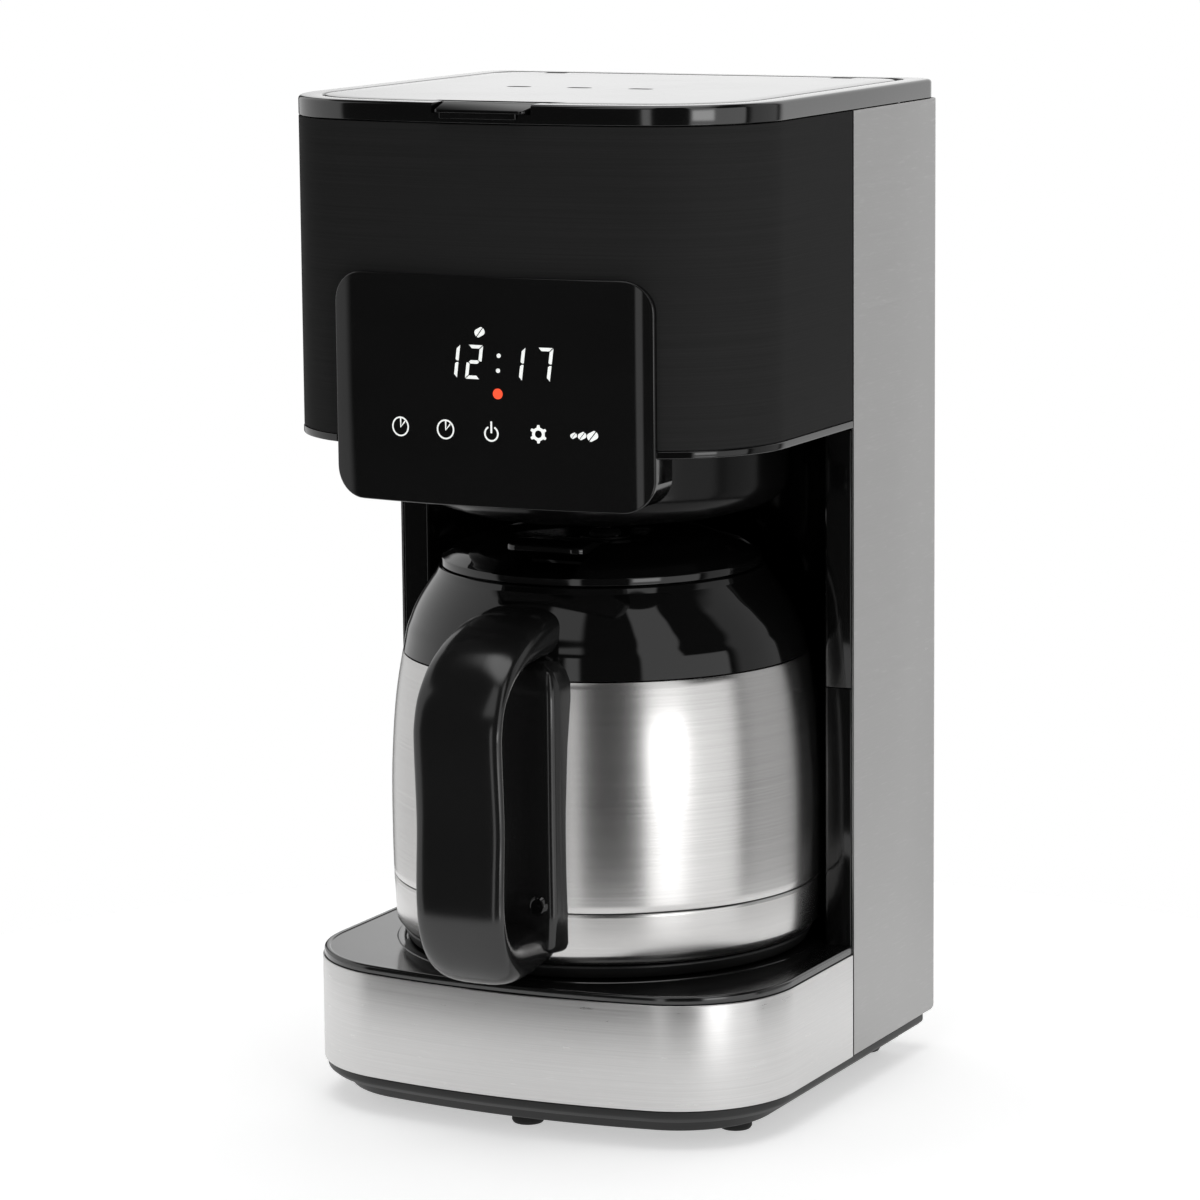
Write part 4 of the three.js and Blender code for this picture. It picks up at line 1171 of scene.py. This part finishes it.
def make_handle():
    shape = Shape().rows(handle_loop(), round_columns=True, caps=True)
    front = HANDLE_FRONT + 36.1
    rows = []
    for z, grow in STRAP:
        half = STRAP_HALF + grow
        radius = side_radius(min(z, COLLAR_Z)) - 1.5
        back_y = JUG_Y - math.sqrt(radius * radius - half * half) + 1 + lean(0, 0, z)[1]
        corners = rounded([
            (half + 1.6, back_y), (half, front + 4.5, 4), (half - 1.2, front - min(grow, 0), 3.2),
            (1.2 - half, front - min(grow, 0), 3.2), (-half, front + 4.5, 4), (-half - 1.6, back_y),
        ])
        rows.append([(x, y, z) for x, y in corners])
    shape.rows(rows, round_columns=True, caps=True)
    piece("jug_handle_moulding", shape, GLOSS_HANDLE_PAINTED_SHEEN, "jug", "gloss_black", "jug_handle", sharp=50)

    cap = rounded([(0, 1.6), (2.6, 1.5, 0.8), (3.6, 0.2, 0.4), (3.6, -2), (0, -2)])
    piece("jug_handle_screw_cap", Shape().stud(cap, 13.0, 82.5, front), GLOSS_JUG, "jug", "gloss_black")


def make_jug_lid():
    top = high("jug_lid").z
    dome = smooth_curve([
        (55.9, 195.0), (51.5, 197.8), (45, 199.9), (38, 202.0), (28, 203.1), (14, top), (4.2, top)], 6)
    profile = [(0, 187.6), (54, 187.6), (54, 191.3)]
    profile += rounded([(54, 191.3), (57.5, 191.3, 0.4), (57.4, 194.0, 0.7), (55.9, 195.0)])[1:-1] + dome
    profile += rounded([(4.2, top), (3.4, top, 0.4), (3.4, top - 6), (0, top - 6)])[1:]
    lever_low = low("jug_lever")
    lever_high = high("jug_lever")
    well = Shape().block(lever_low.x - 0.8, lever_high.x + 0.8, lever_low.y - 14, lever_high.y + 2.0,
                         lever_low.z - 1.8, top + 5)
    lid = Shape().turned(profile, 0, MOUTH_Y)
    piece("jug_lid_moulding", lid, GLOSS_JUG, "jug_lid", "gloss_black", "jug_lid", cuts=[well], soft=(0.5, 3, 50))
    make_lever(lever_low, lever_high)


def make_lever(lever_low, lever_high):
    """The thumb lever, crowned across its width and drawn back at its corners."""
    rows = []
    count = 12
    for i in range(count + 1):
        share = i / count
        x = lever_low.x + (lever_high.x - lever_low.x) * share
        edge = abs(share - 0.5) * 2
        crown = 1 - 0.35 * edge ** 4
        corner = 1.6 * max(0, edge - 0.75) / 0.25
        y0 = lever_low.y + 3.5 + corner * corner
        y1 = lever_high.y - 0.2
        top_z = lever_high.z - 1.2 * (1 - crown)
        section = rounded([
            (y0, top_z - 3.4, 0.6), (y0, top_z - 1.0, 1.0), ((y0 + y1) / 2, top_z, 6),
            (y1 - 1, top_z - 1.6, 1.2), (y1, lever_low.z + 1, 0.8), (y1 - 5, lever_low.z + 0.4, 0.8),
            (y0 + 9, top_z - 3.4, 3),
        ], closed=True, steps=4)
        rows.append([(x, y, z) for y, z in section])
    lever = Shape().rows(rows, round_columns=True, caps=True)
    piece("jug_lever_moulding", lever, GLOSS_JUG, "jug_lever", "gloss_black", "jug_lever")


# ---- carried-over CAD nodes --------------------------------------------------
CARRIED = {
    "base_housing": MATTE, "head_housing": MATTE, "filter_basket": MATTE, "water_channel": MATTE,
    "shower_plate": MATTE, "display_module": MATTE_FINE, "heater_tube": ALUMINIUM, "thermostat": PLAIN_STEEL,
    "thermal_fuse": GLOSS, "power_board": BOARD, "control_board": BOARD, "permanent_filter": PLAIN_STEEL,
    "jug_liner": PLAIN_STEEL, "jug_lever_pin": PLAIN_STEEL, "drip_stop_spring": PLAIN_STEEL,
    "drip_stop_valve": RUBBER, "lid_hinge_pin_left": PLAIN_STEEL, "lid_hinge_pin_right": PLAIN_STEEL,
    "water_tank": TANK, "check_valve": SILICONE, "cold_hose": SILICONE, "riser_tube": SILICONE,
    "riser_seal": SILICONE, "jug_lid_seal": SILICONE,
}


def dress_carried():
    for node, material in CARRIED.items():
        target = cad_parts[node]
        target.data.materials.clear()
        target.data.materials.append(material)


# ---- studio ------------------------------------------------------------------
def window(nodes, value, start, end, soft):
    """1 where value lies between start and end, with soft edges."""
    masks = [nodes.spread(value, first, 1 - first, edge - soft, edge + soft, interpolation_type="SMOOTHSTEP")
             for edge, first in ((start, 0), (end, 1))]
    return nodes.times(*masks)


# Soft boxes round the object: azimuth from and to, elevation from and to, brightness, softness of the edge.
# Angles are degrees. Azimuth 0 is in front of the object and 90 to its right.
SOFT_BOXES = (
    (46, 100, -30, 14, 1.35, 1.5),
    (46, 72, 14, 57, 1.35, 1.5),
    (48, 68, -8, 4, 3.4, 1.5),
    (3, 11, -30, 14, 1.5, 1.5),
    (48, 68, -30, -14, 2.2, 1.5),
    (-136, -54, -30, 40, 0.95, 2.5),
    (-16, 12, 24, 60, 1.1, 2.5),
    (106, 142, -30, 42, 0.58, 4.0),
)
AMBIENT = 0.05
BEHIND = 1.4  # brightness of the wall behind the object
OVERHEAD = 2.6


def make_world():
    """The soft boxes light the object, and the camera sees plain white past it."""
    world = bpy.data.worlds.new("studio")
    world.use_nodes = True
    bpy.context.scene.world = world
    nodes = Nodes(world.node_tree)
    nodes.tree.nodes.clear()
    place = nodes.add("ShaderNodeTexCoord")
    parts = nodes.add("ShaderNodeSeparateXYZ")
    nodes.feed(place.outputs["Generated"], parts.inputs["Vector"])
    x, y, z = parts.outputs
    to_degrees = 180 / math.pi
    azimuth = nodes.times(nodes.math("ARCTAN2", x, nodes.times(y, -1.0)), to_degrees)
    elevation = nodes.times(nodes.math("ARCSINE", z), to_degrees)
    total = AMBIENT
    for az0, az1, el0, el1, level, soft in SOFT_BOXES:
        box = nodes.times(window(nodes, azimuth, az0, az1, soft), window(nodes, elevation, el0, el1, soft))
        total = nodes.plus(nodes.times(box, level), total)
    away = nodes.math("ABSOLUTE", azimuth)
    wall = nodes.times(window(nodes, away, 148, 220, 5), window(nodes, elevation, -30, 45, 10))
    total = nodes.plus(nodes.times(wall, BEHIND), total)
    total = nodes.plus(nodes.times(window(nodes, elevation, 66, 120, 5), OVERHEAD), total)
    lit = nodes.add("ShaderNodeBackground")
    nodes.feed(total, lit.inputs["Strength"])
    plain = nodes.add("ShaderNodeBackground")
    plain.inputs["Color"].default_value = (1, 1, 1, 1)
    seen = nodes.add("ShaderNodeLightPath")
    mix = nodes.add("ShaderNodeMixShader")
    sources = (seen.outputs["Is Camera Ray"], lit.outputs[0], plain.outputs[0])
    for source, socket in zip(sources, mix.inputs):
        nodes.feed(source, socket)
    out = nodes.add("ShaderNodeOutputWorld")
    nodes.feed(mix.outputs[0], out.inputs["Surface"])


FLOOR_REACH = 340
FLOOR_GLOW = 0.5


def make_floor():
    """A round white table that glows a little. Beyond its edge the plain background takes over."""
    rings = [[(x, y, -0.2) for x, y in ring(0, BODY_Y, reach, 96)] for reach in (0, FLOOR_REACH)]
    floor = mesh_object("studio_floor", Shape().rows(rings, round_columns=True))
    look = Look("studio_white", 0.9, 0.0, 0.1)
    look.colour(look.grain(4), (0.86, 0.86, 0.86), (0.88, 0.88, 0.88))
    look.shader["Emission Color"].default_value = (1, 1, 1, 1)
    look.shader["Emission Strength"].default_value = FLOOR_GLOW
    floor.data.materials.append(look.material)


CAMERA_YAW = 26.15
CAMERA_PITCH = 9.47
CAMERA_ROLL = -0.53
CAMERA_LENS = 143.70
CAMERA_PLACE = Vector((746.85, -1528.85, 460.0))  # from the middle of the body, on the floor


def make_camera():
    yaw, pitch, roll = (math.radians(v) for v in (CAMERA_YAW, CAMERA_PITCH, CAMERA_ROLL))
    forward = Vector((-math.sin(yaw) * math.cos(pitch), math.cos(yaw) * math.cos(pitch), -math.sin(pitch)))
    level = Vector((math.cos(yaw), math.sin(yaw), 0))
    upright = level.cross(forward)
    right = level * math.cos(roll) + upright * math.sin(roll)
    up = upright * math.cos(roll) - level * math.sin(roll)
    camera = bpy.data.cameras.new("camera")
    camera.lens = CAMERA_LENS
    camera.sensor_width = 36
    camera.clip_end = 50
    made = bpy.data.objects.new("camera", camera)
    bpy.context.scene.collection.objects.link(made)
    turn = Matrix((right, up, -forward)).transposed().to_4x4()
    made.matrix_world = Matrix.Translation((CAMERA_PLACE + Vector((0, BODY_Y, 0))) * MM) @ turn
    bpy.context.scene.camera = made


make_camera()
make_world()
make_floor()
bpy.context.scene.view_settings.view_transform = "Standard"
make_base()
make_column()
make_head()
make_panel()
make_filter()
make_jug()
dress_carried()
